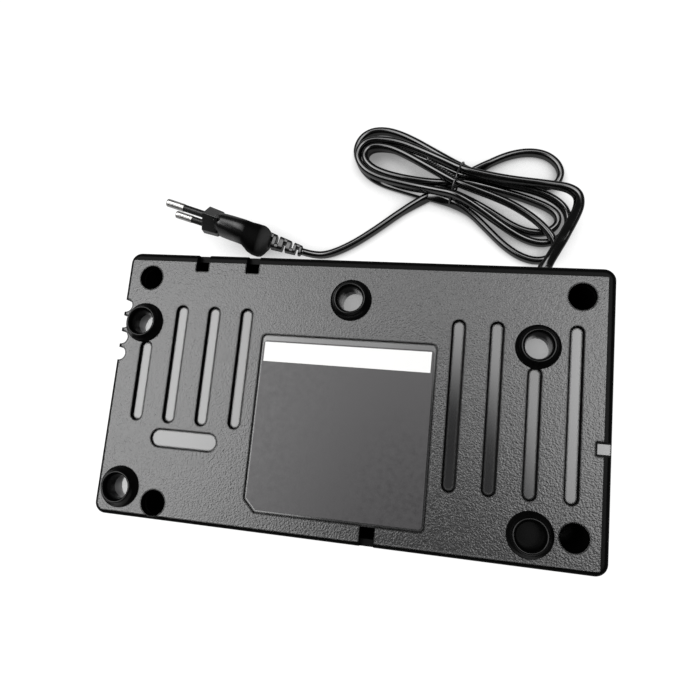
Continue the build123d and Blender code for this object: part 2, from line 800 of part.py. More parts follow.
with BuildPart() as light_pipes:
    with BuildSketch(Plane.XY.offset(pipe_sink)):
        with Locations(*led_places):
            Circle(pipe_radius)
    extrude(amount=board_height - led_length - pipe_sink)
    with BuildSketch(Plane.XY.offset(wall)):
        with Locations(*led_places):
            Circle(pipe_flange_radius)
    extrude(amount=pipe_flange_thickness)
save(light_pipes.part, "light_pipes")

# ---------------------------------------------------------------- terminal block
with BuildPart() as terminal_block:
    with BuildSketch(Plane.XY.offset(bay_depth)):
        with Locations((bay_x, bay_back_y - block_width / 2)):
            Rectangle(block_length, block_width)
    extrude(amount=-block_height)
    fillet(terminal_block.faces().sort_by(Axis.Z)[0].edges(), radius=rounding)
    with BuildSketch(Plane.XY.offset(bay_depth)):
        with Locations(*[(x, block_front_y + blade_root / 2) for x in blade_places]):
            Rectangle(blade_thickness + 2 * fit_gap, blade_root + 2 * fit_gap)
    extrude(amount=-blade_drop - blade_height - fit_gap, mode=Mode.SUBTRACT)
save(terminal_block.part, "terminal_block")

with BuildPart() as terminal_blades:
    with BuildSketch(Plane.XY.offset(blade_top)):
        with Locations(*[(x, block_front_y + (blade_root - blade_reach) / 2) for x in blade_places]):
            Rectangle(blade_thickness, blade_root + blade_reach)
    extrude(amount=-blade_height)
    with BuildSketch(Plane.XY.offset(blade_top)):
        with Locations(*[(x, block_front_y + blade_root / 2) for x in blade_places]):
            Rectangle(blade_thickness, blade_root)
    extrude(amount=board_height - blade_top)
save(terminal_blades.part, "terminal_blades")

# ---------------------------------------------------------------- fan
fan_axis = Axis((0, vent_y, fan_height), (1, 0, 0))
motor_face = fan_right - motor_plate
with BuildPart() as fan_frame:
    with BuildSketch(Plane.YZ.offset(fan_left)):
        with Locations((vent_y, fan_height)):
            RectangleRounded(fan_size, fan_size, cradle_back)
            Circle(fan_bore_radius, mode=Mode.SUBTRACT)
    extrude(amount=fan_depth)
    with BuildSketch(Plane.YZ.offset(motor_face)):
        with Locations((vent_y, fan_height)):
            Circle(motor_radius)
            Rectangle(2 * fan_bore_radius + strut_width / 2, strut_width)
            Rectangle(strut_width, 2 * fan_bore_radius + strut_width / 2)
            Circle(bearing_radius + fit_gap, mode=Mode.SUBTRACT)
    extrude(amount=motor_plate)
save(fan_frame.part, "fan_frame")

rotor_left = fan_left + rotor_gap
rotor_right = motor_face - rotor_gap
with BuildPart() as fan_bearing:
    with BuildSketch(Plane.YZ.offset(fan_right)):
        with Locations((vent_y, fan_height)):
            Circle(bearing_radius)
            Circle(shaft_radius + fit_gap, mode=Mode.SUBTRACT)
    extrude(amount=-(fan_right - rotor_left - 2 * hub_shell - rotor_gap))
save(fan_bearing.part, "fan_bearing")

with BuildPart() as fan_coil:
    with BuildSketch(Plane.YZ.offset(motor_face)):
        with Locations((vent_y, fan_height)):
            Circle(motor_radius)
            Circle(bearing_radius + fit_gap, mode=Mode.SUBTRACT)
    extrude(amount=-(motor_face - rotor_left - 2 * hub_shell - rotor_gap))
save(fan_coil.part, "fan_coil")

with BuildPart() as fan_rotor:
    with BuildSketch(Plane.YZ.offset(rotor_left)):
        with Locations((vent_y, fan_height)):
            Circle(hub_radius)
            Circle(shaft_radius, mode=Mode.SUBTRACT)
    extrude(amount=2 * hub_shell)
    with BuildSketch(Plane.YZ.offset(rotor_left)):
        with Locations((vent_y, fan_height)):
            Circle(hub_radius)
            Circle(hub_radius - hub_shell, mode=Mode.SUBTRACT)
    extrude(amount=rotor_right - rotor_left)
    blade_span = rotor_radius - hub_radius + hub_shell / 2
    for i in range(fan_blade_count):
        turn = 360 / fan_blade_count * i
        out = Vector(0, cos(radians(turn)), sin(radians(turn)))
        root = Vector((rotor_left + rotor_right) / 2, vent_y, fan_height) + out * (hub_radius - hub_shell / 2)
        chord = Vector(1, 0, 0).rotate(Axis((0, 0, 0), tuple(out)), fan_blade_angle)
        with BuildSketch(Plane(origin=root, x_dir=chord, z_dir=out)):
            RectangleRounded(fan_blade_chord, fan_blade_thickness, fan_blade_thickness / 3)
        extrude(amount=blade_span)
    with BuildSketch(Plane.YZ.offset(rotor_left)):
        with Locations((vent_y, fan_height)):
            Circle(rotor_radius)
    extrude(amount=rotor_right - rotor_left, mode=Mode.INTERSECT)
save(fan_rotor.part, "fan_rotor")

with BuildPart() as fan_shaft:
    with BuildSketch(Plane.YZ.offset(rotor_left)):
        with Locations((vent_y, fan_height)):
            Circle(shaft_radius)
    extrude(amount=fan_right - rotor_left)
save(fan_shaft.part, "fan_shaft")

# ---------------------------------------------------------------- cord gland, sheath and clamp
with BuildPart() as cord_gland:
    with BuildSketch(Plane.XY.offset(cord_height)):
        with BuildLine():
            Polyline(
                (cord_x, gland_inner_y),
                (cord_x + gland_flange_radius, gland_inner_y),
                (cord_x + gland_flange_radius, half_width - wall),
                (cord_x + gland_neck_radius, half_width - wall),
                (cord_x + gland_neck_radius, half_width),
                (cord_x + gland_flange_radius, half_width),
                (cord_x + gland_flange_radius, half_width + gland_flange),
                (cord_x + relief_root_radius, half_width + gland_flange),
                (cord_x + relief_tip_radius, relief_end_y),
                (cord_x, relief_end_y),
                (cord_x, gland_inner_y),
            )
        make_face()
    revolve(axis=Axis((cord_x, 0, cord_height), (0, 1, 0)))
save(cord_gland.part, "cord_gland")

sheath_end_y = gland_inner_y - sheath_length
with BuildPart() as inner_sheath:
    with BuildSketch(Plane.XZ.offset(-gland_inner_y)):
        with Locations((cord_x, cord_height)):
            Circle(cord_radius)
    extrude(amount=sheath_length)
save(inner_sheath.part, "inner_sheath")

with BuildPart() as cord_clamp:
    with BuildSketch(Plane.XY.offset(clamp_seat)):
        with Locations((cord_x, clamp_y)):
            RectangleRounded(clamp_length, clamp_width, 2 * rounding)
        with Locations(*clamp_screws):
            Circle(clamp_screw_radius + fit_gap, mode=Mode.SUBTRACT)
    extrude(amount=clamp_thickness)
save(cord_clamp.part, "cord_clamp")

with BuildPart() as clamp_screw_pair:
    with BuildSketch(Plane.XY.offset(clamp_seat + clamp_thickness)):
        with Locations(*clamp_screws):
            Circle(clamp_head_radius)
    extrude(amount=clamp_head_height)
    with BuildSketch(Plane.XY.offset(clamp_seat + clamp_thickness)):
        with Locations(*clamp_screws):
            Circle(clamp_screw_radius)
    extrude(amount=-clamp_thickness - clamp_screw_reach)
save(clamp_screw_pair.part, "clamp_screws")


# ---------------------------------------------------------------- tubes along a route
def route_radii(points):
    """One radius for each corner, as large as its two runs allow."""
    spots = [Vector(*point) for point in points]
    radii = []
    for before, corner, after in zip(spots, spots[1:], spots[2:]):
        turn = (corner - before).get_angle(after - corner)
        shorter = min((corner - before).length, (after - corner).length)
        radii.append(0.45 * shorter / tan(radians(turn) / 2))
    return radii


def tube(name, points, diameter):
    radii = route_radii(points)
    with BuildPart() as pipe:
        with BuildLine():
            route = FilletPolyline(*points, radius=radii)
        with BuildSketch(Plane(origin=route @ 0, z_dir=route % 0)):
            Circle(diameter / 2)
        sweep(path=route)
    section = pi * diameter * diameter / 4
    print(
        name, "radii", [round(radius, 1) for radius in radii],
        "length", round(route.length, 1),
        "volume over section times length", round(pipe.part.volume / section / route.length, 4),
    )
    save(pipe.part, name)


terminal_face = board_x + mains_terminal[0] + mains_terminal[2] / 2
terminal_z = board_top + mains_terminal[4] / 2
for lead_name, side in (("live_lead", -1), ("neutral_lead", 1)):
    start_x = cord_x + side * lead_pitch / 2
    end_y = mains_terminal[1] - side * lead_pitch
    tube(
        lead_name,
        [
            (start_x, sheath_end_y, cord_height),
            (start_x, sheath_end_y - lead_start_run, cord_height),
            (
                (start_x + terminal_face) / 2 + lead_start_run,
                end_y + lead_bow,
                (cord_height + terminal_z) / 2,
            ),
            (terminal_face + lead_end_run, end_y, terminal_z),
            (terminal_face, end_y, terminal_z),
        ],
        lead_diameter,
    )

fan_lead_end = board_x + fan_terminal[0] - fan_terminal[2] / 2
fan_lead_z = board_top + fan_terminal[4] / 2
tube(
    "fan_lead",
    [
        (fan_right, vent_y - fan_size / 2 + strut_width, fan_height),
        (fan_right + fan_lead_run, vent_y - fan_size / 2 + strut_width, fan_height),
        (fan_lead_end - fan_lead_run, fan_terminal[1], fan_lead_z),
        (fan_lead_end, fan_terminal[1], fan_lead_z),
    ],
    lead_diameter,
)

tube("mains_cord_lead", lead_route, cord_diameter)
tube("mains_cord_tail", tail_route, cord_diameter)

# ---------------------------------------------------------------- cord hank and its tie
tie_plane = Plane(
    origin=(waist[0], waist[1], 0),
    x_dir=(-sin(radians(waist_angle)), cos(radians(waist_angle)), 0),
    z_dir=(cos(radians(waist_angle)), sin(radians(waist_angle)), 0),
)
tie_inside = (waist_width + 2 * tie_gap, hank_height + tie_gap)
tie_middle = tie_thickness + tie_inside[1] / 2
with BuildPart() as mains_cord_hank:
    for edge, height in ((hank_edge, hank_layer), (upper_edge, hank_height)):
        with BuildSketch():
            with BuildLine():
                Spline(*edge, periodic=True)
            make_face()
        extrude(amount=height)
    # the tie's wire passes under the strands
    with BuildSketch(tie_plane):
        with Locations((0, tie_thickness / 2)):
            Rectangle(2 * waist_width, tie_thickness)
    extrude(amount=tie_width / 2 + tie_gap, both=True, mode=Mode.SUBTRACT)
    # flat seats where the cord enters
    for before, end in (lead_route[-2:], tail_route[-2:]):
        inwards = (Vector(*end) - Vector(*before)).normalized()
        with BuildSketch(Plane(origin=end, x_dir=Vector(0, 0, 1).cross(inwards), z_dir=-inwards)):
            Rectangle(cord_diameter + 2 * tie_gap, cord_diameter + 2 * tie_gap)
        extrude(amount=2 * cord_diameter, mode=Mode.SUBTRACT)
save(mains_cord_hank.part, "mains_cord_hank")

with BuildPart() as cord_tie:
    with BuildSketch(tie_plane):
        with Locations((0, tie_middle)):
            Rectangle(tie_inside[0] + 2 * tie_thickness, tie_inside[1] + 2 * tie_thickness)
            Rectangle(*tie_inside, mode=Mode.SUBTRACT)
    extrude(amount=tie_width / 2, both=True)
save(cord_tie.part, "cord_tie")

# ---------------------------------------------------------------- plug
with BuildPart() as plug_body:
    with BuildSketch(plug_face):
        with BuildLine():
            Polyline(
                (0, plug_face_width / 2),
                (-plug_face_thickness / 2, plug_face_flat / 2),
                (-plug_face_thickness / 2, -plug_face_flat / 2),
                (0, -plug_face_width / 2),
                (plug_face_thickness / 2, -plug_face_flat / 2),
                (plug_face_thickness / 2, plug_face_flat / 2),
                (0, plug_face_width / 2),
            )
        make_face()
    extrude(amount=-plug_block_length)
    with BuildSketch(plug_face.offset(-plug_block_length)):
        RectangleRounded(plug_grip_thickness, plug_grip_width, plug_grip_thickness / 3)
    with BuildSketch(plug_face.offset(-plug_body_length)):
        RectangleRounded(plug_neck_thickness, plug_neck_width, plug_neck_thickness / 3)
    loft()
    with BuildSketch(plug_face):
        with Locations(*pin_places):
            Circle(pin_core_radius + fit_gap)
    extrude(amount=-pin_root, mode=Mode.SUBTRACT)
save(plug_body.part, "plug_body")

with BuildPart() as plug_pins:
    with BuildSketch(plug_face.offset(-pin_root)):
        with Locations(*pin_places):
            Circle(pin_core_radius)
    extrude(amount=pin_root + pin_sleeve_length)
    with BuildSketch(plug_face.offset(pin_sleeve_length)):
        with Locations(*pin_places):
            Circle(pin_radius)
    extrude(amount=pin_length - pin_sleeve_length)
    pin_tips = plug_pins.faces().group_by(Axis(tuple(plug_centre), tuple(plug_nose)))[-1]
    fillet(pin_tips.edges(), radius=pin_radius / 2)
save(plug_pins.part, "plug_pins")

with BuildPart() as pin_sleeves:
    with BuildSketch(plug_face):
        with Locations(*pin_places):
            Circle(pin_sleeve_radius)
            Circle(pin_core_radius + fit_gap, mode=Mode.SUBTRACT)
    extrude(amount=pin_sleeve_length)
save(pin_sleeves.part, "pin_sleeves")

with BuildPart() as plug_relief:
    with BuildSketch(plug_face.offset(-plug_body_length)):
        RectangleRounded(*plug_relief_root[::-1], plug_relief_slot)
    with BuildSketch(plug_face.offset(-plug_body_length - plug_relief_length)):
        RectangleRounded(*plug_relief_tip[::-1], plug_relief_slot)
    loft()
    slot_pitch = plug_relief_length / (plug_relief_slots + 1)
    for i in range(plug_relief_slots):
        for side in (-1, 1):
            slot_start = plug_body_length + slot_pitch * (i + 0.75 + side / 4)
            with BuildSketch(plug_face.offset(-slot_start)):
                with Locations((side * plug_relief_root[1] / 2, 0)):
                    Rectangle(plug_relief_root[1] / 2, 2 * plug_relief_root[0])
            extrude(amount=-plug_relief_slot, mode=Mode.SUBTRACT)
save(plug_relief.part, "plug_relief")
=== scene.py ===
import json
from math import cos, pi, radians, sin

import bmesh
import bpy
import numpy as np
from mathutils import Euler, Matrix, Vector


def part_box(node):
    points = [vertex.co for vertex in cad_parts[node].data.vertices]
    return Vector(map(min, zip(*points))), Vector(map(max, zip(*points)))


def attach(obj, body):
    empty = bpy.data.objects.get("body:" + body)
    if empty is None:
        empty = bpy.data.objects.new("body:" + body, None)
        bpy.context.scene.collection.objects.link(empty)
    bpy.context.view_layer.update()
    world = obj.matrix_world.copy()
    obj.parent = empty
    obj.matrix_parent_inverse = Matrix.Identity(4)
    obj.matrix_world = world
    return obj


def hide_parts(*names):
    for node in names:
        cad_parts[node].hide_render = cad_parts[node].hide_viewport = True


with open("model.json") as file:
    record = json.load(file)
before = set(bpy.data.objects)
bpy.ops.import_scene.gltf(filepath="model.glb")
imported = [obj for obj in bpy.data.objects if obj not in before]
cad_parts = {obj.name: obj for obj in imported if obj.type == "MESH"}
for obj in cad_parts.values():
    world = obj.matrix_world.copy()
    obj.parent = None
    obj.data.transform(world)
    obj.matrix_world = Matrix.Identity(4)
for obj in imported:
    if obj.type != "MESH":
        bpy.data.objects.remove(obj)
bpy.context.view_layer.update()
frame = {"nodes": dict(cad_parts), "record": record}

NODES = frame["nodes"]
SCENE = bpy.context.scene
MM = 0.001
UP = Vector((0, 0, 1))
BODY = "charger"
CASE_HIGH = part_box("base_shell")[1]
LABEL_LOW, LABEL_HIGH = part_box("rating_label")

# ---------------------------------------------------------------- camera
# solved from where the case's corners, feet, wells, grooves and label lie in the photograph
CAMERA_AT = Vector((47.43, -15.99, 293.30)) * MM
CAMERA_TURN = Euler([radians(a) for a in (9.521, 10.791, 5.435)])
camera_data = bpy.data.cameras.new("camera")
camera_data.sensor_width = 36.0
camera_data.lens = 30.857
camera_data.clip_start = 0.01
camera = bpy.data.objects.new("camera", camera_data)
camera.matrix_world = Matrix.LocRotScale(CAMERA_AT, CAMERA_TURN, None)
SCENE.collection.objects.link(camera)
SCENE.camera = camera
SCENE.view_settings.view_transform = "Standard"

# ---------------------------------------------------------------- size of the cord and the plug's place
CORD_WIDE = 5.4 * MM
CORD_THIN = 3.2 * MM
PLUG_HEADING = radians(167.0)
PLUG_LIFT = radians(14.0)
PLUG_LENGTH = 51.0      # from the face to the end of the strain relief, mm
PLUG_WIDTH = 35.3       # the solid head's, mm
PLUG_BLOCK = 8.0        # the solid head's length; its far edge lies on the floor, mm
# which way the plug's pins point, its thickness runs and its width runs
NOSE = Vector((
    cos(PLUG_HEADING) * cos(PLUG_LIFT), sin(PLUG_HEADING) * cos(PLUG_LIFT), sin(PLUG_LIFT)
))
SIDE = Vector((sin(PLUG_HEADING), -cos(PLUG_HEADING), 0))
WIDE = NOSE.cross(SIDE)
PLUG_REST = PLUG_BLOCK * sin(PLUG_LIFT) + PLUG_WIDTH / 2 * cos(PLUG_LIFT)
PLUG_FACE = Vector((-90.2, 88.4, PLUG_REST))
PLUG_END = PLUG_FACE - NOSE * PLUG_LENGTH
EXIT = (76.0, 74.0, 20.0)

# ---------------------------------------------------------------- the cord's route, in mm
# Each point: x, y, height and how the flat cord leans there, 180 on edge and 90 lying flat.
# It goes from the gland over the right ends of the loops and through the tie, then four times round.
FROM_GLAND = [
    (76.0, 60.0, 20.0, 80), (76.2, 66.0, 20.0, 80), (79.1, 72.8, 19.6, 62), (82.7, 80.0, 18.2, 70),
    (86.1, 87.2, 16.8, 112), (89.3, 94.2, 15.6, 120), (91.7, 100.6, 14.8, 130),
    (91.4, 106.5, 14.0, 148), (87.1, 110.0, 13.4, 166), (80.9, 111.6, 12.6, 180),
    (73.7, 113.0, 11.8, 180), (64.5, 114.3, 11.3, 180), (54.2, 116.0, 11.3, 180),
    (44.7, 118.1, 11.3, 180),
]
LOOP_UPPER_OUTER = [
    (36.9, 120.2, 11.3, 180), (29.3, 124.5, 10.0, 180), (21.6, 128.7, 8.8, 180),
    (13.2, 132.7, 8.2, 180), (4.8, 136.0, 8.2, 180), (-2.9, 137.3, 8.2, 180), (-9.7, 137.5, 8.2, 180),
    (-15.0, 135.2, 8.2, 180), (-17.1, 130.1, 8.2, 180), (-15.8, 125.2, 8.0, 180),
    (-11.7, 120.8, 7.6, 180), (-5.5, 117.8, 7.2, 180), (1.8, 115.8, 7.0, 180), (9.5, 114.0, 7.0, 180),
    (17.7, 112.2, 7.4, 180), (25.9, 109.8, 9.2, 180),
]
FAN_OUTER = [
    (33.4, 107.5, 11.2, 180), (40.3, 104.4, 10.0, 180), (47.2, 100.3, 8.6, 180), (54.6, 95.4, 7.2, 180),
    (62.0, 91.0, 5.2, 180), (69.3, 87.7, 3.2, 180), (76.4, 86.0, 2.8, 180), (82.8, 87.3, 2.8, 180),
    (87.4, 91.6, 2.8, 180), (89.0, 97.3, 3.0, 180), (87.6, 102.5, 4.2, 180), (83.2, 106.7, 5.4, 180),
    (76.8, 110.1, 5.9, 180), (69.8, 112.5, 5.9, 180), (61.2, 114.5, 5.9, 180), (52.6, 116.4, 5.9, 180),
    (44.3, 118.2, 5.9, 180),
]
LOOP_LOWER_INNER = [
    (36.4, 119.3, 5.9, 180), (28.7, 123.5, 4.4, 180), (20.8, 127.7, 3.0, 180), (12.4, 131.3, 2.8, 180),
    (4.4, 134.3, 2.8, 180), (-3.6, 136.0, 2.8, 180), (-10.6, 135.6, 2.8, 180), (-14.0, 132.2, 2.8, 180),
    (-12.7, 127.1, 2.8, 180), (-7.7, 123.1, 2.8, 180), (0.3, 120.7, 2.8, 180), (8.8, 118.6, 2.8, 180),
    (17.1, 116.3, 3.0, 180), (25.5, 113.2, 4.6, 180),
]
FAN_INNER = [
    (33.6, 109.9, 5.9, 180), (40.6, 107.0, 5.2, 180), (47.6, 103.9, 3.6, 180), (55.1, 99.6, 2.8, 180),
    (62.0, 95.1, 2.8, 180), (68.7, 92.1, 2.8, 180), (74.8, 91.3, 2.8, 180), (80.3, 92.3, 2.8, 180),
    (84.0, 95.9, 2.8, 180), (83.9, 100.5, 2.8, 180), (79.8, 104.1, 2.8, 180), (73.6, 106.9, 2.8, 180),
    (65.9, 109.8, 2.8, 180), (57.7, 112.1, 3.2, 180), (49.9, 113.8, 4.4, 180), (42.0, 115.1, 5.9, 180),
]
LOOP_UPPER_INNER = [
    (34.7, 116.1, 5.9, 180), (27.4, 115.1, 6.4, 180), (19.5, 115.1, 7.6, 180), (11.5, 116.0, 8.2, 180),
    (4.3, 117.5, 8.2, 180), (-2.4, 119.4, 8.2, 180), (-8.6, 122.2, 8.2, 180), (-12.9, 126.6, 8.2, 180),
    (-13.2, 131.4, 8.2, 180), (-9.1, 134.3, 8.2, 180), (-2.1, 133.7, 8.2, 180), (4.7, 131.3, 8.2, 180),
    (12.1, 127.3, 8.4, 180), (20.1, 122.4, 9.2, 180), (27.9, 117.4, 10.4, 180),
]
FAN_CROSSING = [
    (35.4, 113.0, 11.3, 180), (42.8, 110.3, 11.0, 180), (51.0, 107.6, 10.0, 180),
    (59.7, 104.3, 9.0, 180), (67.8, 99.9, 8.4, 180), (75.4, 94.2, 8.2, 180), (80.9, 88.2, 8.0, 180),
    (83.3, 82.9, 6.6, 180), (81.3, 78.5, 4.2, 180), (75.0, 77.0, 2.8, 180), (67.0, 79.2, 2.8, 180),
    (59.0, 84.7, 2.8, 180), (50.9, 92.7, 2.8, 180), (42.1, 101.1, 3.6, 180),
]
LOOP_LOWER_OUTER = [
    (32.9, 105.3, 5.6, 150), (24.7, 108.7, 3.6, 120), (15.3, 111.8, 2.0, 98), (5.8, 114.6, 1.7, 92),
    (-3.8, 117.6, 1.9, 110), (-11.7, 121.7, 2.5, 150), (-16.8, 127.3, 2.8, 180),
    (-19.2, 134.2, 2.8, 180), (-17.2, 141.1, 2.8, 180), (-11.8, 145.1, 2.8, 180),
    (-4.4, 145.6, 2.8, 180), (3.7, 143.3, 2.8, 180), (12.3, 139.1, 2.8, 180), (20.9, 133.9, 3.2, 180),
    (28.9, 128.6, 4.6, 180),
]
FREE_LOOP = [
    (36.6, 123.7, 5.9, 180), (44.6, 121.0, 4.8, 150), (52.5, 119.9, 2.6, 110), (60.4, 117.9, 1.8, 95),
    (68.2, 116.7, 1.8, 95), (75.3, 116.2, 1.8, 98), (80.6, 116.1, 2.2, 135), (83.8, 118.4, 2.8, 180),
    (84.6, 123.0, 2.8, 180), (82.0, 128.2, 2.8, 180), (76.2, 132.3, 2.8, 180), (68.1, 133.5, 2.8, 180),
    (59.1, 131.8, 2.8, 180), (50.6, 127.9, 2.8, 180), (43.5, 123.8, 2.2, 140),
]
TO_PLUG = [
    (31.1, 116.2, 1.7, 100), (19.4, 108.9, 2.4, 150), (8.1, 101.6, 2.8, 180), (-4.2, 91.6, 2.8, 180),
    (-16.4, 82.8, 2.8, 180), (-28.4, 76.9, 3.0, 180),
]

ROUTE = FROM_GLAND + LOOP_UPPER_OUTER + FAN_OUTER + LOOP_LOWER_INNER + FAN_INNER + LOOP_UPPER_INNER
ROUTE += FAN_CROSSING + LOOP_LOWER_OUTER + FREE_LOOP + TO_PLUG
ROUTE += [(*(PLUG_END - NOSE * 6.0), 180), (*PLUG_END, 180)]
route_m = [Vector(p[:3]) * MM for p in ROUTE]


def new_object(name, data):
    obj = bpy.data.objects.new(name, data)
    SCENE.collection.objects.link(obj)
    return obj


def nurbs_mesh(name, points, closed=False, radius=0.0):
    """The mesh of a NURBS curve on these points, in metres: a bare line, or a round wire."""
    data = bpy.data.curves.new(name, "CURVE")
    data.dimensions = "3D"
    data.resolution_u = 8
    data.bevel_depth = radius
    data.bevel_resolution = 3
    data.use_fill_caps = True
    spline = data.splines.new("NURBS")
    spline.points.add(len(points) - 1)
    for spot, p in zip(spline.points, points):
        spot.co = (*p, 1.0)
    spline.order_u = 3
    spline.use_cyclic_u = closed
    spline.use_endpoint_u = not closed
    curve = new_object(name, data)
    bpy.context.view_layer.update()
    mesh = bpy.data.meshes.new_from_object(curve)
    bpy.data.objects.remove(curve)
    return mesh


def arc_shares(points):
    """How far along the line each point is, from 0 to 1, and the line's length."""
    steps = [0.0] + [(q - p).length for p, q in zip(points, points[1:])]
    run = np.cumsum(steps)
    return run / run[-1], run[-1]


def mesh_of_rings(name, rings, cap=True, smooth=True):
    """A skin over rings that have as many points each, closed at its ends if capped."""
    bm = bmesh.new()
    rows = [[bm.verts.new(p) for p in ring] for ring in rings]
    count = len(rows[0])
    for a, b in zip(rows, rows[1:]):
        for i in range(count):
            j = (i + 1) % count
            bm.faces.new((a[i], a[j], b[j], b[i]))
    if cap:
        bm.faces.new(rows[0][::-1])
        bm.faces.new(rows[-1])
    bmesh.ops.recalc_face_normals(bm, faces=bm.faces)
    for face in bm.faces:
        face.smooth = smooth
    mesh = bpy.data.meshes.new(name)
    bm.to_mesh(mesh)
    bm.free()
    return new_object(name, mesh)


def flat_section(wide, thin, count):
    """Outline of a flat cord: two half rounds joined by straight sides."""
    outline = []
    half = (wide - thin) / 2
    for i in range(count):
        t = 2 * pi * (i + 0.5) / count
        x = cos(t) * thin / 2
        y = sin(t) * thin / 2
        outline.append((x, y + (half if y > 0 else -half)))
    return outline


cord_line = nurbs_mesh("cord_line", route_m)
line = [v.co.copy() for v in cord_line.vertices]
bpy.data.meshes.remove(cord_line)
shares, cord_length = arc_shares(line)
lean_at, _ = arc_shares(route_m)
lean = [p[3] for p in ROUTE]
section = flat_section(CORD_WIDE, CORD_THIN, 20)
rings = []
for i, spot in enumerate(line):
    ahead = (line[min(i + 1, len(line) - 1)] - line[max(i - 1, 0)]).normalized()
    level = ahead.cross(UP).normalized()
    upright = level.cross(ahead).normalized()
    turn = radians(float(np.interp(shares[i], lean_at, lean)))
    tall = level * sin(turn) - upright * cos(turn)
    across = ahead.cross(tall).normalized()
    rings.append([spot + across * x + tall * y for x, y in section])
cord = mesh_of_rings("mains_cord", rings)


# ---------------------------------------------------------------- material helpers
def shader(name):
    """A new material, its node tree and its main shader."""
    material = bpy.data.materials.new(name)
    material.use_nodes = True
    tree = material.node_tree
    return material, tree, tree.nodes["Principled BSDF"]


def node(tree, kind, **settings):
    """A new node, with these inputs or properties set."""
    made = tree.nodes.new(kind)
    for key, value in settings.items():
        if key in made.inputs:
            made.inputs[key].default_value = value
        else:
            setattr(made, key, value)
    return made


def noise(tree, scale, detail=3.0, rough=0.55):
    """A noise value, its scale in cells to the metre."""
    place = node(tree, "ShaderNodeTexCoord")
    grain = node(tree, "ShaderNodeTexNoise", Scale=scale, Detail=detail, Roughness=rough)
    tree.links.new(place.outputs["Object"], grain.inputs["Vector"])
    return grain.outputs["Fac"]


def axes_of(tree, vector):
    """The X, Y and Z of a vector socket."""
    parts = node(tree, "ShaderNodeSeparateXYZ")
    tree.links.new(vector, parts.inputs[0])
    return parts.outputs["X"], parts.outputs["Y"], parts.outputs["Z"]


def span(tree, source, low, high, out_low, out_high, kind="LINEAR"):
    """The source's value, mapped from one range to another."""
    made = node(tree, "ShaderNodeMapRange", interpolation_type=kind)
    made.inputs["From Min"].default_value = low
    made.inputs["From Max"].default_value = high
    made.inputs["To Min"].default_value = out_low
    made.inputs["To Max"].default_value = out_high
    tree.links.new(source, made.inputs["Value"])
    return made.outputs["Result"]


def mixed(tree, mask, dark, light):
    """The dark colour where the mask is 0 and the light one where it is 1, as RGB or as sockets."""
    made = node(tree, "ShaderNodeMix", data_type="RGBA")
    tree.links.new(mask, made.inputs["Factor"])
    for socket, color in zip([s for s in made.inputs if s.type == "RGBA"], (dark, light)):
        if isinstance(color, tuple):
            socket.default_value = (*color, 1)
        else:
            tree.links.new(color, socket)
    return next(o for o in made.outputs if o.type == "RGBA")


def grey(level):
    return (level, level, level)


def calc(tree, kind, *values):
    """A math node, its inputs numbers or sockets."""
    made = node(tree, "ShaderNodeMath", operation=kind)
    for socket, value in zip(made.inputs, values):
        if isinstance(value, (int, float)):
            socket.default_value = value
        else:
            tree.links.new(value, socket)
    return made.outputs[0]


def over_level(tree, value, level):
    return calc(tree, "GREATER_THAN", value, level)


def under_level(tree, value, level):
    return calc(tree, "LESS_THAN", value, level)


def opposite(tree, mask):
    return calc(tree, "SUBTRACT", 1.0, mask)


def every(tree, first, *masks):
    """1 where all the masks are 1."""
    for mask in masks:
        first = calc(tree, "MULTIPLY", first, mask)
    return first


def either(tree, first, *masks):
    """1 where at least one mask is 1."""
    for mask in masks:
        first = calc(tree, "MAXIMUM", first, mask)
    return first


def shaded_by(tree, mask, where_0, where_1):
    """One shader where the mask is 0 and the other where it is 1."""
    made = node(tree, "ShaderNodeMixShader")
    if isinstance(mask, float):
        made.inputs[0].default_value = mask
    else:
        tree.links.new(mask, made.inputs[0])
    tree.links.new(where_0.outputs[0], made.inputs[1])
    tree.links.new(where_1.outputs[0], made.inputs[2])
    return made


def bump(tree, height, strength, distance, below=None):
    """A surface made uneven, over another one if below gives its normal."""
    made = node(tree, "ShaderNodeBump", Strength=strength, Distance=distance)
    tree.links.new(height, made.inputs["Height"])
    if below is not None:
        tree.links.new(below, made.inputs["Normal"])
    return made.outputs["Normal"]


# ---------------------------------------------------------------- finishes
def plain_finish(
    name, color, rough=0.5, metal=0.0, scale=900.0, vary=0.25, relief=0.00002, specular=0.5
):
    """A finish with a fine grain: its colour and roughness vary and its surface is slightly uneven."""
    material, tree, surface = shader(name)
    grain = noise(tree, scale)
    drift = noise(tree, scale / 12, detail=2.0)
    dark = tuple(c * (1 - vary) for c in color)
    light = tuple(min(c * (1 + vary), 1.0) for c in color)
    roughness = span(tree, grain, 0.3, 0.7, rough * 0.85, min(rough * 1.15, 1.0))
    tree.links.new(mixed(tree, drift, dark, light), surface.inputs["Base Color"])
    tree.links.new(roughness, surface.inputs["Roughness"])
    tree.links.new(bump(tree, grain, 0.5, relief), surface.inputs["Normal"])
    surface.inputs["Metallic"].default_value = metal
    surface.inputs["Specular IOR Level"].default_value = specular
    return material


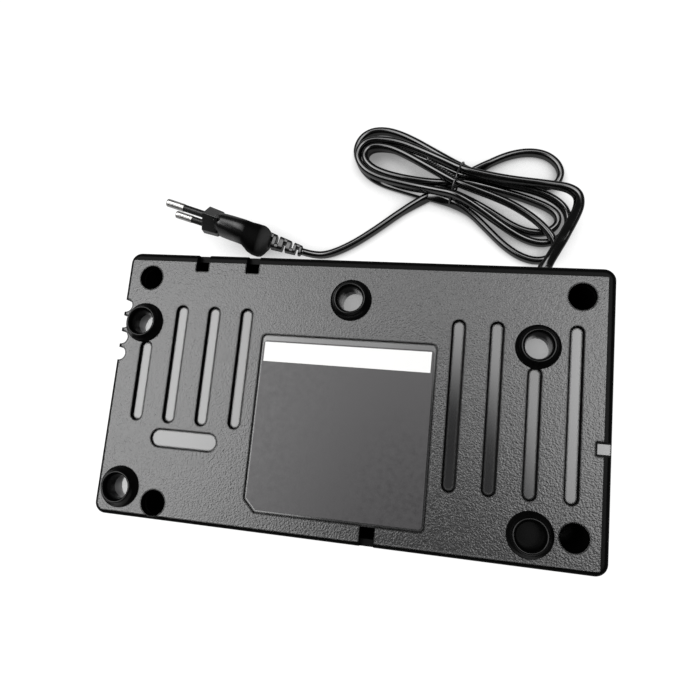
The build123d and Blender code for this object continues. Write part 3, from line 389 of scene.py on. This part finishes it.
GRAIN_SCALE = 1650.0        # the case's spark-eroded grain, cells to the metre
GRAIN_DEPTH = 0.13 * MM
TOP, SIDE_X, SIDE_Y = CASE_HIGH.z, CASE_HIGH.x, CASE_HIGH.y
PLATE_TOP = (TOP - 0.4 * MM, TOP - 0.1 * MM)        # the textured plate, from its rounded edge up
GROOVE_FLOOR = (TOP - 5.0 * MM, TOP - 4.5 * MM)     # below this the plastic is textured again
CUP_FLOOR = (TOP - 4.0 * MM, TOP - 3.2 * MM)        # the floors seen in the feet's cups, painted paler as painted light
RIM_LEVEL = (TOP - 4.5 * MM, TOP - 2.0 * MM)        # the painted black outlines, painted shade, set in over this height
WELL_LEVEL = TOP - 2.0 * MM                         # what the wells show below this is painted black, as painted shade
WALL = 0.8 * MM                                     # only the inside of the walls counts as a well
# the notches, painted black as painted shade
NOTCH_LEVEL = (TOP - 4.4 * MM, TOP - 0.8 * MM)
NOTCH_X = (-63.8 * MM, -42.0 * MM, 14.0 * MM)
NOTCH_HALF = 3.4 * MM
NOTCH_DEPTH = 7.6 * MM                              # how far the notches reach in from the long sides
SIDE_NOTCH_Y = -11.2 * MM
SIDE_NOTCH_DEPTH = (6.0 * MM, 4.7 * MM)             # of its painted black frame, painted shade, and of its floor
SIDE_NOTCH_HALF = (3.1 * MM, 1.8 * MM)
# the plate's border, painted black as painted shade of its rounded edge
BORDER_RIGHT, BORDER_BACK, BORDER_FRONT = 2.9 * MM, 3.4 * MM, 0.9 * MM
BORDER_SLANT = 0.010                                # the front border runs slightly askew
BORDER_LEVEL = TOP - 1.0 * MM
RIM_REACH = 1.3 * MM                                # how far from an edge its painted black outline reaches
RIM_TILT = (0.972, 0.9955)                          # the smoothed normal's Z, from painted black to plain
HIGHLIGHT_LINE_TILT = (0.9960, 0.9990)                        # and from the painted highlight line to plain
EDGE_ROUND = 0.35 * MM


def case_finish(name):
    """Spark-eroded black plastic. Recessed floors are polished. Rims, wells, notches and the plate's
    border are painted black as painted shade, the cups' floors are painted paler as painted light, and a
    painted highlight line runs beside the rims.
    """
    material, tree, surface = shader(name)
    place = node(tree, "ShaderNodeTexCoord")
    east, north, height = axes_of(tree, place.outputs["Object"])
    facing = axes_of(tree, place.outputs["Normal"])[2]
    along = calc(tree, "ABSOLUTE", east)
    across = calc(tree, "ABSOLUTE", north)
    grain = noise(tree, GRAIN_SCALE, detail=1.0, rough=0.5)
    drift = noise(tree, 45.0, detail=2.0)

    # where the surface is flat, textured, or a cup's floor
    flat = span(tree, facing, 0.80, 0.99, 0.0, 1.0)
    skin = either(
        tree, span(tree, height, *PLATE_TOP, 0.0, 1.0), span(tree, height, *GROOVE_FLOOR, 1.0, 0.0)
    )
    cup = every(tree, under_level(tree, height, CUP_FLOOR[1]), over_level(tree, height, CUP_FLOOR[0]))
    # the front right foot's cup floor is painted black, a painted dark reflection
    dark_cup_reflection = every(tree, over_level(tree, east, 40 * MM), under_level(tree, north, 0.0), cup)

    # painted shade, in black: the wells, the notches, the rims of all recesses and the plate's border
    well = every(
        tree, under_level(tree, across, SIDE_Y - WALL), under_level(tree, along, SIDE_X - WALL),
        under_level(tree, height, WELL_LEVEL), opposite(tree, cup),
    )
    notch_level = every(
        tree, over_level(tree, height, NOTCH_LEVEL[0]), under_level(tree, height, NOTCH_LEVEL[1])
    )
    beside = either(tree, *[
        under_level(tree, calc(tree, "ABSOLUTE", calc(tree, "SUBTRACT", east, middle)), NOTCH_HALF)
        for middle in NOTCH_X
    ])
    notch = every(tree, over_level(tree, across, SIDE_Y - NOTCH_DEPTH), notch_level, beside)
    off_middle = calc(tree, "ABSOLUTE", calc(tree, "SUBTRACT", north, SIDE_NOTCH_Y))
    frame_box, floor_box = [
        every(tree, over_level(tree, east, SIDE_X - depth), under_level(tree, off_middle, half))
        for depth, half in zip(SIDE_NOTCH_DEPTH, SIDE_NOTCH_HALF)
    ]
    side_frame = every(tree, frame_box, opposite(tree, floor_box), notch_level)
    outline = node(tree, "ShaderNodeBevel", samples=6, Radius=RIM_REACH)
    upward = axes_of(tree, outline.outputs["Normal"])[2]
    rim = every(
        tree, span(tree, upward, *RIM_TILT, 1.0, 0.0), span(tree, height, *RIM_LEVEL, 0.0, 1.0)
    )
    front = calc(tree, "SUBTRACT", north, calc(tree, "MULTIPLY", east, BORDER_SLANT))
    border = either(
        tree, over_level(tree, north, SIDE_Y - BORDER_BACK),
        over_level(tree, east, SIDE_X - BORDER_RIGHT), under_level(tree, front, BORDER_FRONT - SIDE_Y),
    )
    border = every(tree, border, over_level(tree, height, BORDER_LEVEL))
    black = either(tree, rim, border, well, notch, side_frame)
    # a thin painted highlight line, paler than the plate, runs just outside each painted black outline
    highlight_line = every(tree, span(tree, upward, *HIGHLIGHT_LINE_TILT, 1.0, 0.0), opposite(tree, black), flat)

    wall = mixed(tree, grain, grey(0.012), grey(0.020))
    shade_black = mixed(tree, grain, grey(0.001), grey(0.003))
    plate = mixed(tree, drift, (0.016, 0.016, 0.0165), (0.024, 0.024, 0.0245))
    # the cups' floors are painted paler: painted light
    cup_painted_light = mixed(tree, drift, (0.08, 0.08, 0.081), (0.11, 0.11, 0.111))
    # painted highlight: the grey of the line beside the black outlines
    highlight_grey = mixed(tree, drift, grey(0.13), grey(0.16))
    tone = mixed(tree, highlight_line, mixed(tree, flat, wall, mixed(tree, cup, plate, cup_painted_light)), highlight_grey)

    edge = node(tree, "ShaderNodeBevel", samples=4, Radius=EDGE_ROUND)
    tree.links.new(tone, surface.inputs["Base Color"])
    tree.links.new(span(tree, flat, 0.0, 1.0, 0.38, 0.21), surface.inputs["Roughness"])
    tree.links.new(bump(tree, grain, 0.9, GRAIN_DEPTH, edge.outputs["Normal"]), surface.inputs["Normal"])
    surface.inputs["Specular IOR Level"].default_value = 0.50
    surface.inputs["IOR"].default_value = 1.6
    polished = node(tree, "ShaderNodeBsdfPrincipled", IOR=1.6)
    polished.inputs["Specular IOR Level"].default_value = 0.78
    tree.links.new(tone, polished.inputs["Base Color"])
    tree.links.new(span(tree, grain, 0.3, 0.7, 0.08, 0.10), polished.inputs["Roughness"])
    # painted shade: the near-black shader laid on the rims, wells, notches and border
    shade_paint = node(tree, "ShaderNodeBsdfPrincipled", Roughness=0.35)
    shade_paint.inputs["Specular IOR Level"].default_value = 0.05
    tree.links.new(shade_black, shade_paint.inputs["Base Color"])
    lit = shaded_by(tree, skin, polished, surface)
    result = shaded_by(tree, either(tree, black, dark_cup_reflection), lit, shade_paint)
    tree.links.new(result.outputs[0], tree.nodes["Material Output"].inputs["Surface"])
    return material


def cord_finish(name):
    """Black soft vinyl with a satin shine and faint drag marks."""
    material, tree, surface = shader(name)
    marks = noise(tree, 260.0, detail=4.0)
    grain = noise(tree, 3000.0)
    tree.links.new(mixed(tree, marks, grey(0.001), grey(0.003)), surface.inputs["Base Color"])
    tree.links.new(span(tree, marks, 0.3, 0.7, 0.10, 0.17), surface.inputs["Roughness"])
    tree.links.new(bump(tree, grain, 0.25, 0.00003), surface.inputs["Normal"])
    surface.inputs["Specular IOR Level"].default_value = 0.75
    surface.inputs["IOR"].default_value = 1.6
    return material


NEAR = 18 * MM              # how close under the object painted shade dims the floor's glow
GLOW_SHARE = 0.86           # of what is seen of the floor; the rest shows the object's shadow
GLOSSY_SHARE = 0.28         # how much of that reflections see, so that the black sides stay dark


def stage_finish(name):
    """White where it is seen, with a soft shadow, and painted shade that dims its glow close under the
    object.
    """
    material = bpy.data.materials.new(name)
    material.use_nodes = True
    tree = material.node_tree
    tree.nodes.clear()
    out = node(tree, "ShaderNodeOutputMaterial")
    paths = node(tree, "ShaderNodeLightPath")
    matte = node(tree, "ShaderNodeBsdfDiffuse", Color=(0.95, 0.95, 0.95, 1))
    near = node(tree, "ShaderNodeAmbientOcclusion", samples=8, Distance=NEAR)
    glow = node(tree, "ShaderNodeEmission")
    # painted shade: the glow's strength falls where the object is near
    tree.links.new(span(tree, near.outputs["AO"], 0.30, 0.80, 0.25, 1.10), glow.inputs["Strength"])
    seen = shaded_by(tree, GLOW_SHARE, matte, glow)
    dim = node(tree, "ShaderNodeBsdfDiffuse", Color=(0.10, 0.10, 0.10, 1))
    reflected = calc(tree, "MULTIPLY", paths.outputs["Is Glossy Ray"], GLOSSY_SHARE)
    shown = either(
        tree, paths.outputs["Is Camera Ray"], reflected, paths.outputs["Is Transmission Ray"]
    )
    tree.links.new(shaded_by(tree, shown, dim, seen).outputs[0], out.inputs["Surface"])
    return material


# how far behind the plug's face its grip turns matt, then smooth again, and where its rear end turns
# paler, painted light on the lit flare
MATT_FROM = (16.5 * MM, 21.5 * MM)
MATT_TO = (34.0 * MM, 35.0 * MM)
LIT_REAR_FROM = (28.5 * MM, 34.5 * MM)


def plug_finish(name):
    """Black vinyl, smooth on the panel behind the head and matt on the flared grip, whose rear end is
    painted paler as painted light.
    """
    material, tree, surface = shader(name)
    grain = noise(tree, 1400.0)
    drift = noise(tree, 120.0, detail=2.0)
    place = node(tree, "ShaderNodeTexCoord")
    dot = node(tree, "ShaderNodeVectorMath", operation="DOT_PRODUCT")
    tree.links.new(place.outputs["Object"], dot.inputs[0])
    dot.inputs[1].default_value = -NOSE
    back = calc(tree, "ADD", dot.outputs["Value"], NOSE.dot(PLUG_FACE) * MM)
    tree.links.new(mixed(tree, drift, grey(0.003), grey(0.005)), surface.inputs["Base Color"])
    tree.links.new(span(tree, grain, 0.3, 0.7, 0.22, 0.30), surface.inputs["Roughness"])
    tree.links.new(bump(tree, grain, 0.5, 0.00002), surface.inputs["Normal"])
    surface.inputs["Specular IOR Level"].default_value = 0.6
    matt = node(tree, "ShaderNodeBsdfPrincipled", Roughness=0.55)
    matt.inputs["Specular IOR Level"].default_value = 0.03
    # painted light: the grip's rear end grows paler towards the relief
    lit_rear_paint = span(tree, back, *LIT_REAR_FROM, 0.0, 1.0)
    tree.links.new(mixed(tree, lit_rear_paint, grey(0.002), grey(0.075)), matt.inputs["Base Color"])
    tree.links.new(bump(tree, grain, 0.6, 0.00006), matt.inputs["Normal"])
    rear = every(tree, span(tree, back, *MATT_FROM, 0.0, 1.0), span(tree, back, *MATT_TO, 1.0, 0.0))
    result = shaded_by(tree, rear, surface, matt)
    tree.links.new(result.outputs[0], tree.nodes["Material Output"].inputs["Surface"])
    return material


FINISHES = {
    "case_plastic": case_finish("case_plastic_grain"),
    "foot_rubber": plain_finish("foot_rubber_satin", grey(0.0015), 0.20, scale=1600, specular=0.26),
    "screw_steel": plain_finish("screw_black_oxide", grey(0.006), 0.5, scale=700, specular=0.15),
    "label_sticker": plain_finish("label_film", (0.029, 0.027, 0.029), 0.34, scale=500, vary=0.06),
    "board_laminate": plain_finish("solder_mask", (0.03, 0.14, 0.07), 0.3, scale=400),
    "ferrite": plain_finish("ferrite_grey", (0.05, 0.05, 0.055), 0.6, scale=1200),
    "winding_tape": plain_finish("winding_tape_amber", (0.55, 0.33, 0.05), 0.35, scale=600),
    "capacitor_sleeve": plain_finish("shrink_sleeve", (0.02, 0.025, 0.07), 0.25, scale=500),
    "yellow_box": plain_finish("safety_box", (0.5, 0.35, 0.04), 0.35, scale=500),
    "device_epoxy": plain_finish("device_epoxy_black", (0.02, 0.02, 0.022), 0.55, scale=1500),
    "fuse_tube": plain_finish("fuse_tube_clear", (0.7, 0.75, 0.75), 0.08, scale=200, vary=0.02),
    "contact_metal": plain_finish("contact_tin", (0.68, 0.62, 0.48), 0.3, metal=1.0, scale=700),
    "sink_aluminium": plain_finish("sink_mill", (0.62, 0.62, 0.64), 0.35, metal=1.0, scale=300),
    "terminal_plastic": plain_finish("terminal_green", (0.03, 0.18, 0.08), 0.4, scale=800),
    "led_lens": plain_finish("led_lens_green", (0.1, 0.35, 0.1), 0.15, scale=300, vary=0.05),
    "light_pipe_clear": plain_finish(
        "light_pipe_clear_pale", (0.7, 0.72, 0.72), 0.12, scale=300, vary=0.03
    ),
    "block_plastic": plain_finish("block_black", (0.02, 0.02, 0.022), 0.45, scale=1300),
    "fan_plastic": plain_finish("fan_black", (0.012, 0.012, 0.013), 0.4, scale=1300),
    "bearing_bronze": plain_finish("bearing_bronze_oily", (0.45, 0.28, 0.1), 0.3, metal=1.0, scale=900),
    "fan_wire": plain_finish("fan_wire_red", (0.35, 0.02, 0.02), 0.35, scale=900),
    "cord_rubber": plain_finish("relief_rubber", grey(0.004), 0.28, scale=1500, specular=0.9),
    "cord_pvc": cord_finish("cord_vinyl"),
    "live_wire": plain_finish("live_brown", (0.16, 0.05, 0.015), 0.35, scale=900),
    "neutral_wire": plain_finish("neutral_blue", (0.02, 0.07, 0.3), 0.35, scale=900),
    "tie_wire": plain_finish("tie_wire_black", grey(0.02), 0.16, scale=900, specular=1.0),
    "plug_pvc": plug_finish("plug_vinyl"),
    "pin_nickel": plain_finish(
        "pin_nickel_bright", (0.80, 0.79, 0.77), 0.34, metal=1.0, scale=300, vary=0.05, relief=0.000002
    ),
    "sleeve_plastic": plain_finish("sleeve_black", grey(0.012), 0.3, scale=1500),
}
slot_of = {part["node"]: part["material_slot"] for part in frame["record"]["subparts"]}
for name, obj in NODES.items():
    obj.data.materials.clear()
    obj.data.materials.append(FINISHES[slot_of[name]])


def finish_piece(obj, slot, *replaced):
    """Gives a piece its material and its place on the charger."""
    obj.data.materials.clear()
    obj.data.materials.append(FINISHES[slot])
    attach(obj, BODY)
    if replaced:
        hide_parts(*replaced)


finish_piece(cord, "cord_pvc", "mains_cord_lead", "mains_cord_hank", "mains_cord_tail")


# ---------------------------------------------------------------- turned and lofted pieces
def soften(obj, width, segments=3):
    """Rounds the piece's sharp edges."""
    made = obj.modifiers.new("soften", "BEVEL")
    made.width = width
    made.segments = segments
    made.limit_method = "ANGLE"
    made.angle_limit = radians(35.0)
    made.harden_normals = False


def turned(profile, origin, axis, steps=64):
    """The rings of a piece turned from a profile of (radius, distance along the axis) in mm."""
    axis = Vector(axis).normalized()
    across = axis.orthogonal().normalized()
    other = axis.cross(across)
    rows = []
    for r, d in profile:
        rows.append([
            (Vector(origin) + axis * d + (across * cos(t) + other * sin(t)) * r) * MM
            for t in (2 * pi * i / steps for i in range(steps))
        ])
    return rows


def section_ring(centre, across, tall, width, height, square, count=48):
    """A rounded outline: square is 2 for an ellipse, and more for a box with rounded corners."""
    ring = []
    for i in range(count):
        t = 2 * pi * i / count
        c, s = cos(t), sin(t)
        x = abs(c) ** (2 / square) * width / 2 * (1 if c >= 0 else -1)
        y = abs(s) ** (2 / square) * height / 2 * (1 if s >= 0 else -1)
        ring.append((centre + across * x + tall * y) * MM)
    return ring


# rubber feet: a flange, a coned outside, a rounded lip and a cup that goes down to the pocket's floor
FOOT_PROFILE = [
    (4.4, 66.4), (4.4, 69.0), (4.6, 71.2), (5.0, 72.6), (5.35, 73.3), (5.6, 73.56), (5.85, 73.6),
    (6.1, 73.5), (6.3, 73.2), (6.7, 72.4), (7.3, 71.3), (7.9, 70.75), (8.12, 70.5), (8.2, 70.2),
    (8.2, 70.0), (5.3, 70.0), (5.3, 66.4),
]
for name in sorted(n for n in NODES if n.startswith("foot_")):
    low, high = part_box(name)
    centre = (low + high) / 2 / MM
    rows = turned(FOOT_PROFILE, (centre.x, centre.y, 0), UP)
    foot = mesh_of_rings(name + "_ring", rows + [rows[0]], cap=False)
    finish_piece(foot, "foot_rubber", name)

# cord gland: a turned flange in the wall and a ribbed relief that tapers along the cord's start
GLAND_PROFILE = [
    (0.2, -3.9), (6.0, -3.9), (6.2, -3.7), (6.2, -2.6), (4.4, -2.6), (4.4, 0.0), (5.8, 0.0), (6.2, 0.4),
    (6.2, 1.2), (5.9, 1.6), (4.4, 1.9), (4.2, 2.4), (0.2, 2.4),
]
gland_rows = turned(GLAND_PROFILE, (EXIT[0], CASE_HIGH.y / MM, EXIT[2]), (0, 1, 0))
gland = mesh_of_rings("cord_gland_flange", gland_rows)
finish_piece(gland, "cord_rubber", "cord_gland")
RELIEF_START, RELIEF_LENGTH = 50.4, 20.6    # where it starts inside the wall, and its length
RIB_STEP, RIB_DEPTH, RIBS_END, RIBS_FADE = 2.7, 0.45, 13.5, 20.0
TAPER_LENGTH = 15.0
WIDE_ROOT, WIDE_TIP = 8.6, 6.1
THIN_ROOT, THIN_TIP = 8.2, 3.9
TIP_START, TIP_LENGTH, TIP_ROUND = 18.6, 1.4, 0.7
BEND_START, BEND_EAST, BEND_DOWN = 62.0, 0.0235, 0.006    # it bends with the cord from here on
RELIEF_STEPS = 82
relief_rows = []
for i in range(RELIEF_STEPS + 1):
    d = RELIEF_LENGTH * i / RELIEF_STEPS
    share = min(d / TAPER_LENGTH, 1.0)
    wave = 0.5 + 0.5 * cos(2 * pi * d / RIB_STEP)
    rib = 0.0 if d > RIBS_END else RIB_DEPTH * wave * (1 - d / RIBS_FADE)
    tip = max(0.0, (d - TIP_START) / TIP_LENGTH)
    at = RELIEF_START + d
    bend = max(0.0, at - BEND_START)
    middle = Vector((EXIT[0] + BEND_EAST * bend * bend, at, EXIT[2] - BEND_DOWN * bend * bend))
    ahead = Vector((2 * BEND_EAST * bend, 1.0, -2 * BEND_DOWN * bend)).normalized()
    level = ahead.cross(UP).normalized()
    wide = WIDE_ROOT + (WIDE_TIP - WIDE_ROOT) * share - rib * 2 - TIP_ROUND * tip
    thin = THIN_ROOT + (THIN_TIP - THIN_ROOT) * share - rib * 2 - TIP_ROUND * tip
    relief_rows.append(section_ring(middle, level, level.cross(ahead), wide, thin, 2.3))
relief = mesh_of_rings("cord_relief_ribbed", relief_rows)
finish_piece(relief, "cord_rubber")


# ---------------------------------------------------------------- plug
def plug_point(back, side=0.0, wide=0.0):
    """A point in mm, given from the plug's face, its flat side and its middle."""
    return PLUG_FACE - NOSE * back + SIDE * side + WIDE * wide


HEAD_CORNERS = [(0, 12.0), (-6.4, 2.6), (-6.4, -3.6), (0, -12.2), (6.4, -3.6), (6.4, 2.6)]
HEAD_STEPS = [(0.0, 1.0), (0.3, 1.0), (7.4, 0.94), (8.2, 0.88)]     # how far back, and how large
SIDE_STEPS = 8


def hexagon(back, scale):
    """One outline of the plug's head: a long hexagon."""
    ring = []
    for (x0, y0), (x1, y1) in zip(HEAD_CORNERS, HEAD_CORNERS[1:] + HEAD_CORNERS[:1]):
        for k in range(SIDE_STEPS):
            share = k / SIDE_STEPS
            side, wide = (x0 + (x1 - x0) * share) * scale, (y0 + (y1 - y0) * share) * scale
            ring.append(plug_point(back, side, wide) * MM)
    return ring


head = mesh_of_rings("plug_head", [hexagon(*step) for step in HEAD_STEPS], smooth=False)
soften(head, 0.7 * MM)
# distance behind the face, width, thickness, squareness, how far the middle is off the plug's axis
GRIP = [
    (6.4, 18.6, 10.2, 2.4, 0.0), (9.0, 19.2, 11.0, 2.4, 0.0), (12.0, 19.6, 11.3, 2.5, 0.0),
    (15.0, 19.8, 11.4, 2.6, 0.0), (18.0, 19.6, 11.5, 2.7, 0.0), (20.0, 19.2, 11.8, 2.7, -0.1),
    (22.0, 18.6, 13.0, 2.7, -0.7), (24.0, 18.0, 14.4, 2.7, -1.4), (27.0, 17.4, 15.6, 2.7, -1.7),
    (30.0, 16.8, 15.8, 2.6, -1.7), (31.6, 15.8, 14.8, 2.5, -1.7), (32.8, 14.2, 12.4, 2.5, -1.4),
    (33.8, 12.2, 9.8, 2.4, -0.9), (34.6, 10.2, 8.2, 2.4, -0.4),
]
grip = mesh_of_rings("plug_grip", [
    section_ring(plug_point(back, off), SIDE, WIDE, thick, wide, square)
    for back, wide, thick, square, off in GRIP
])
finish_piece(head, "plug_pvc", "plug_body")
finish_piece(grip, "plug_pvc")
# The strain relief: a tapered bar with slots cut into it from one side and the other in turn.
COMB_FROM, COMB_TO = 33.4, 51.2
COMB_SLOTS = [(34.8, -1), (38.2, 1), (42.2, -1), (46.0, 1), (49.0, -1)]
SLOT_WIDE = 1.5
SLOT_SHARE = 0.42       # of the bar's thickness, what a slot leaves
SLOT_ROUND = 0.95       # of the bar's width, at the slots' rounded edges
EDGE_STEP = 0.25
STEP = 0.02             # between the rings on either side of a slot's wall
BAR_THICK, BAR_WIDE = (8.0, 5.0), (8.8, 6.2)    # at the plug and at the cord


def comb_ring(back, side=0, grow=1.0):
    """One outline of the relief; in a slot, it is only what is left on the other side."""
    share = (back - COMB_FROM) / (COMB_TO - COMB_FROM)
    thick = BAR_THICK[0] + (BAR_THICK[1] - BAR_THICK[0]) * share
    wide = BAR_WIDE[0] + (BAR_WIDE[1] - BAR_WIDE[0]) * share
    left = SLOT_SHARE if side else 1.0
    middle = plug_point(back, -side * thick * (1 - left) / 2)
    return section_ring(middle, SIDE, WIDE, thick * left * grow, wide * grow, 4.5)


comb = [comb_ring(COMB_FROM)]
for middle, side in COMB_SLOTS:
    start, end = middle - SLOT_WIDE / 2, middle + SLOT_WIDE / 2
    comb += [comb_ring(start - EDGE_STEP), comb_ring(start, 0, SLOT_ROUND)]
    comb += [comb_ring(spot, side, SLOT_ROUND) for spot in (start + STEP, end - STEP)]
    comb += [comb_ring(end, 0, SLOT_ROUND), comb_ring(end + EDGE_STEP)]
comb += [comb_ring(COMB_TO - 0.3), comb_ring(COMB_TO, 0, 0.9)]
core = mesh_of_rings("plug_relief_comb", comb, smooth=False)
finish_piece(core, "plug_pvc", "plug_relief")

# ---------------------------------------------------------------- the hank's wire tie
WAIST = Vector((34.5, 115.2, 0))
SLANT = radians(-15.7)
OVER = Vector((-sin(SLANT), cos(SLANT), 0))     # across the hank, level
# the tie's loop in the plane across the hank: how far over, and its height
TIE_LOOP = [
    (-10.6, 1.0), (-11.0, 5.4), (-9.6, 9.4), (-5.2, 13.6), (0.6, 14.9), (6.0, 13.4), (9.8, 9.6),
    (11.0, 5.6), (10.6, 1.0), (6.0, -0.0), (0.0, 0.0), (-6.0, 0.0),
]


def wire(name, points, radius, closed=False):
    """A round wire along a smooth line, in mm."""
    mesh = nurbs_mesh(name, [Vector(p) * MM for p in points], closed, radius * MM)
    for face in mesh.polygons:
        face.use_smooth = True
    return new_object(name, mesh)


TIE_RADIUS, TWIST_RADIUS = 0.5, 0.38
TIE_LIFT = 0.55
loop = [WAIST + OVER * x + UP * (z + TIE_LIFT) for x, z in TIE_LOOP]
finish_piece(wire("cord_tie_wire", loop, TIE_RADIUS, closed=True), "tie_wire", "cord_tie")
TWIST_START = Vector((35.0, 113.3, 16.0))
TWIST_END = Vector((19.3, 124.9, 12.6))
TWIST_HALF_TURNS, TWIST_STEPS = 13, 36
TWIST_APART = 0.5
TWIST_OPENS, TWIST_SPREAD = 0.9, 4.0    # from this share of its length on, the ends stand apart
for k in range(2):
    twist = []
    for i in range(TWIST_STEPS + 1):
        t = i / TWIST_STEPS
        spin = pi * k + t * TWIST_HALF_TURNS * pi
        middle = TWIST_START.lerp(TWIST_END, t)
        apart = TWIST_APART + TWIST_SPREAD * max(0.0, t - TWIST_OPENS)
        twist.append(middle + OVER * cos(spin) * apart + UP * sin(spin) * TWIST_APART)
    finish_piece(wire("cord_tie_twist_%d" % (k + 1), twist, TWIST_RADIUS), "tie_wire")

# ---------------------------------------------------------------- label
LABEL_CORNER, LABEL_CUT = 1.4 * MM, 4.2 * MM
STRIP_THICK = 0.04 * MM
# the strip's corners, in mm; it is cut slightly askew
STRIP = [(32.7, 19.2), (-33.0, 19.2), (-33.0, 11.5), (32.6, 11.3)]


def corner_arc(x, y, start):
    """A quarter turn round this middle, from this angle on."""
    turns = [radians(start + 15 * k) for k in range(7)]
    return [(x + LABEL_CORNER * cos(t), y + LABEL_CORNER * sin(t)) for t in turns]


def plate(name, outline, low, high):
    """A flat piece with this outline in plan, in metres."""
    return mesh_of_rings(name, [[(x, y, z) for x, y in outline] for z in (low, high)], smooth=False)


left, right = LABEL_LOW.x, LABEL_HIGH.x
front, back = LABEL_LOW.y, LABEL_HIGH.y
label_outline = corner_arc(right - LABEL_CORNER, back - LABEL_CORNER, 0)
label_outline += corner_arc(left + LABEL_CORNER, back - LABEL_CORNER, 90)
label_outline += [(left, front + LABEL_CUT), (left + LABEL_CUT, front)]
label_outline += corner_arc(right - LABEL_CORNER, front + LABEL_CORNER, 270)
label = plate("rating_label_film", label_outline, LABEL_LOW.z, LABEL_HIGH.z)
soften(label, 0.08 * MM, 2)
finish_piece(label, "label_sticker", "rating_label")
strip_outline = [(x * MM, y * MM) for x, y in STRIP]
strip = plate("rating_label_strip", strip_outline, LABEL_HIGH.z, LABEL_HIGH.z + STRIP_THICK)
finish_piece(strip, "label_sticker")
white = plain_finish("label_white_field", (0.88, 0.88, 0.87), 0.45, scale=600, vary=0.02)
strip.data.materials[0] = white

# ---------------------------------------------------------------- stage and lights
floor_mesh = bpy.data.meshes.new("floor")
floor_mesh.from_pydata([(-3, -3, 0), (3, -3, 0), (3, 3, 0), (-3, 3, 0)], [], [(0, 1, 2, 3)])
floor = new_object("floor", floor_mesh)
floor.data.materials.append(stage_finish("floor_white"))

# The room: a bright ceiling, a window to the left, a doorway to the right, dark low down, and the dark
# head and shoulders of whoever stands over the table. Each is an ellipse in slopes from overhead: its
# middle's x and y, its half sizes, and the shares of them where its soft edge starts and ends.
CEILING = (-0.20, 0.03, 0.75, 0.55, 0.85, 1.15)
CEILING_GLOW = 3.2
WINDOW = (-0.80, 0.10, 0.50, 0.60, 0.60, 1.20)
WINDOW_GLOW = 2.5
DOORWAY = (0.44, 0.18, 0.28, 0.36, 0.70, 1.20)
DOORWAY_GLOW = 2.9
HEAD = (-0.06, -0.25, 0.19, 0.36, 0.85, 1.30)
SHOULDERS = (0.05, -0.56, 0.42, 0.46, 0.75, 1.15)
LOW_GLOW = 0.045
world = bpy.data.worlds.new("world")
SCENE.world = world
world.use_nodes = True
sky = world.node_tree
sky.nodes.clear()

toward = node(sky, "ShaderNodeTexCoord")
sky_x, sky_y, sky_z = axes_of(sky, toward.outputs["Generated"])
steepness = calc(sky, "MAXIMUM", sky_z, 0.02)
slope_x = calc(sky, "DIVIDE", sky_x, steepness)
slope_y = calc(sky, "DIVIDE", sky_y, steepness)


def in_ellipse(x, y, half_x, half_y, edge_in, edge_out):
    """1 inside the ellipse and 0 outside it, with a soft edge."""
    u = calc(sky, "DIVIDE", calc(sky, "SUBTRACT", slope_x, x), half_x)
    v = calc(sky, "DIVIDE", calc(sky, "SUBTRACT", slope_y, y), half_y)
    squares = calc(sky, "ADD", calc(sky, "MULTIPLY", u, u), calc(sky, "MULTIPLY", v, v))
    return span(sky, calc(sky, "SQRT", squares), edge_in, edge_out, 1.0, 0.0, "SMOOTHSTEP")


ceiling = calc(sky, "MULTIPLY", in_ellipse(*CEILING), CEILING_GLOW)
window = calc(sky, "MULTIPLY", in_ellipse(*WINDOW), WINDOW_GLOW)
doorway = calc(sky, "MULTIPLY", in_ellipse(*DOORWAY), DOORWAY_GLOW)
lights = calc(sky, "ADD", ceiling, calc(sky, "ADD", window, doorway))
clear = every(sky, opposite(sky, in_ellipse(*HEAD)), opposite(sky, in_ellipse(*SHOULDERS)))
room = every(sky, lights, clear, over_level(sky, sky_z, 0.0))
room = calc(sky, "ADD", room, LOW_GLOW)
# the camera sees plain white behind the object, at strength 1
paths = node(sky, "ShaderNodeLightPath")
seen = either(sky, paths.outputs["Is Camera Ray"], paths.outputs["Is Transmission Ray"])
shown = calc(sky, "ADD", seen, calc(sky, "MULTIPLY", opposite(sky, seen), room))
glow = node(sky, "ShaderNodeBackground", Color=(1, 1, 1, 1))
sky.links.new(shown, glow.inputs["Strength"])
sky_out = node(sky, "ShaderNodeOutputWorld")
sky.links.new(glow.outputs[0], sky_out.inputs["Surface"])
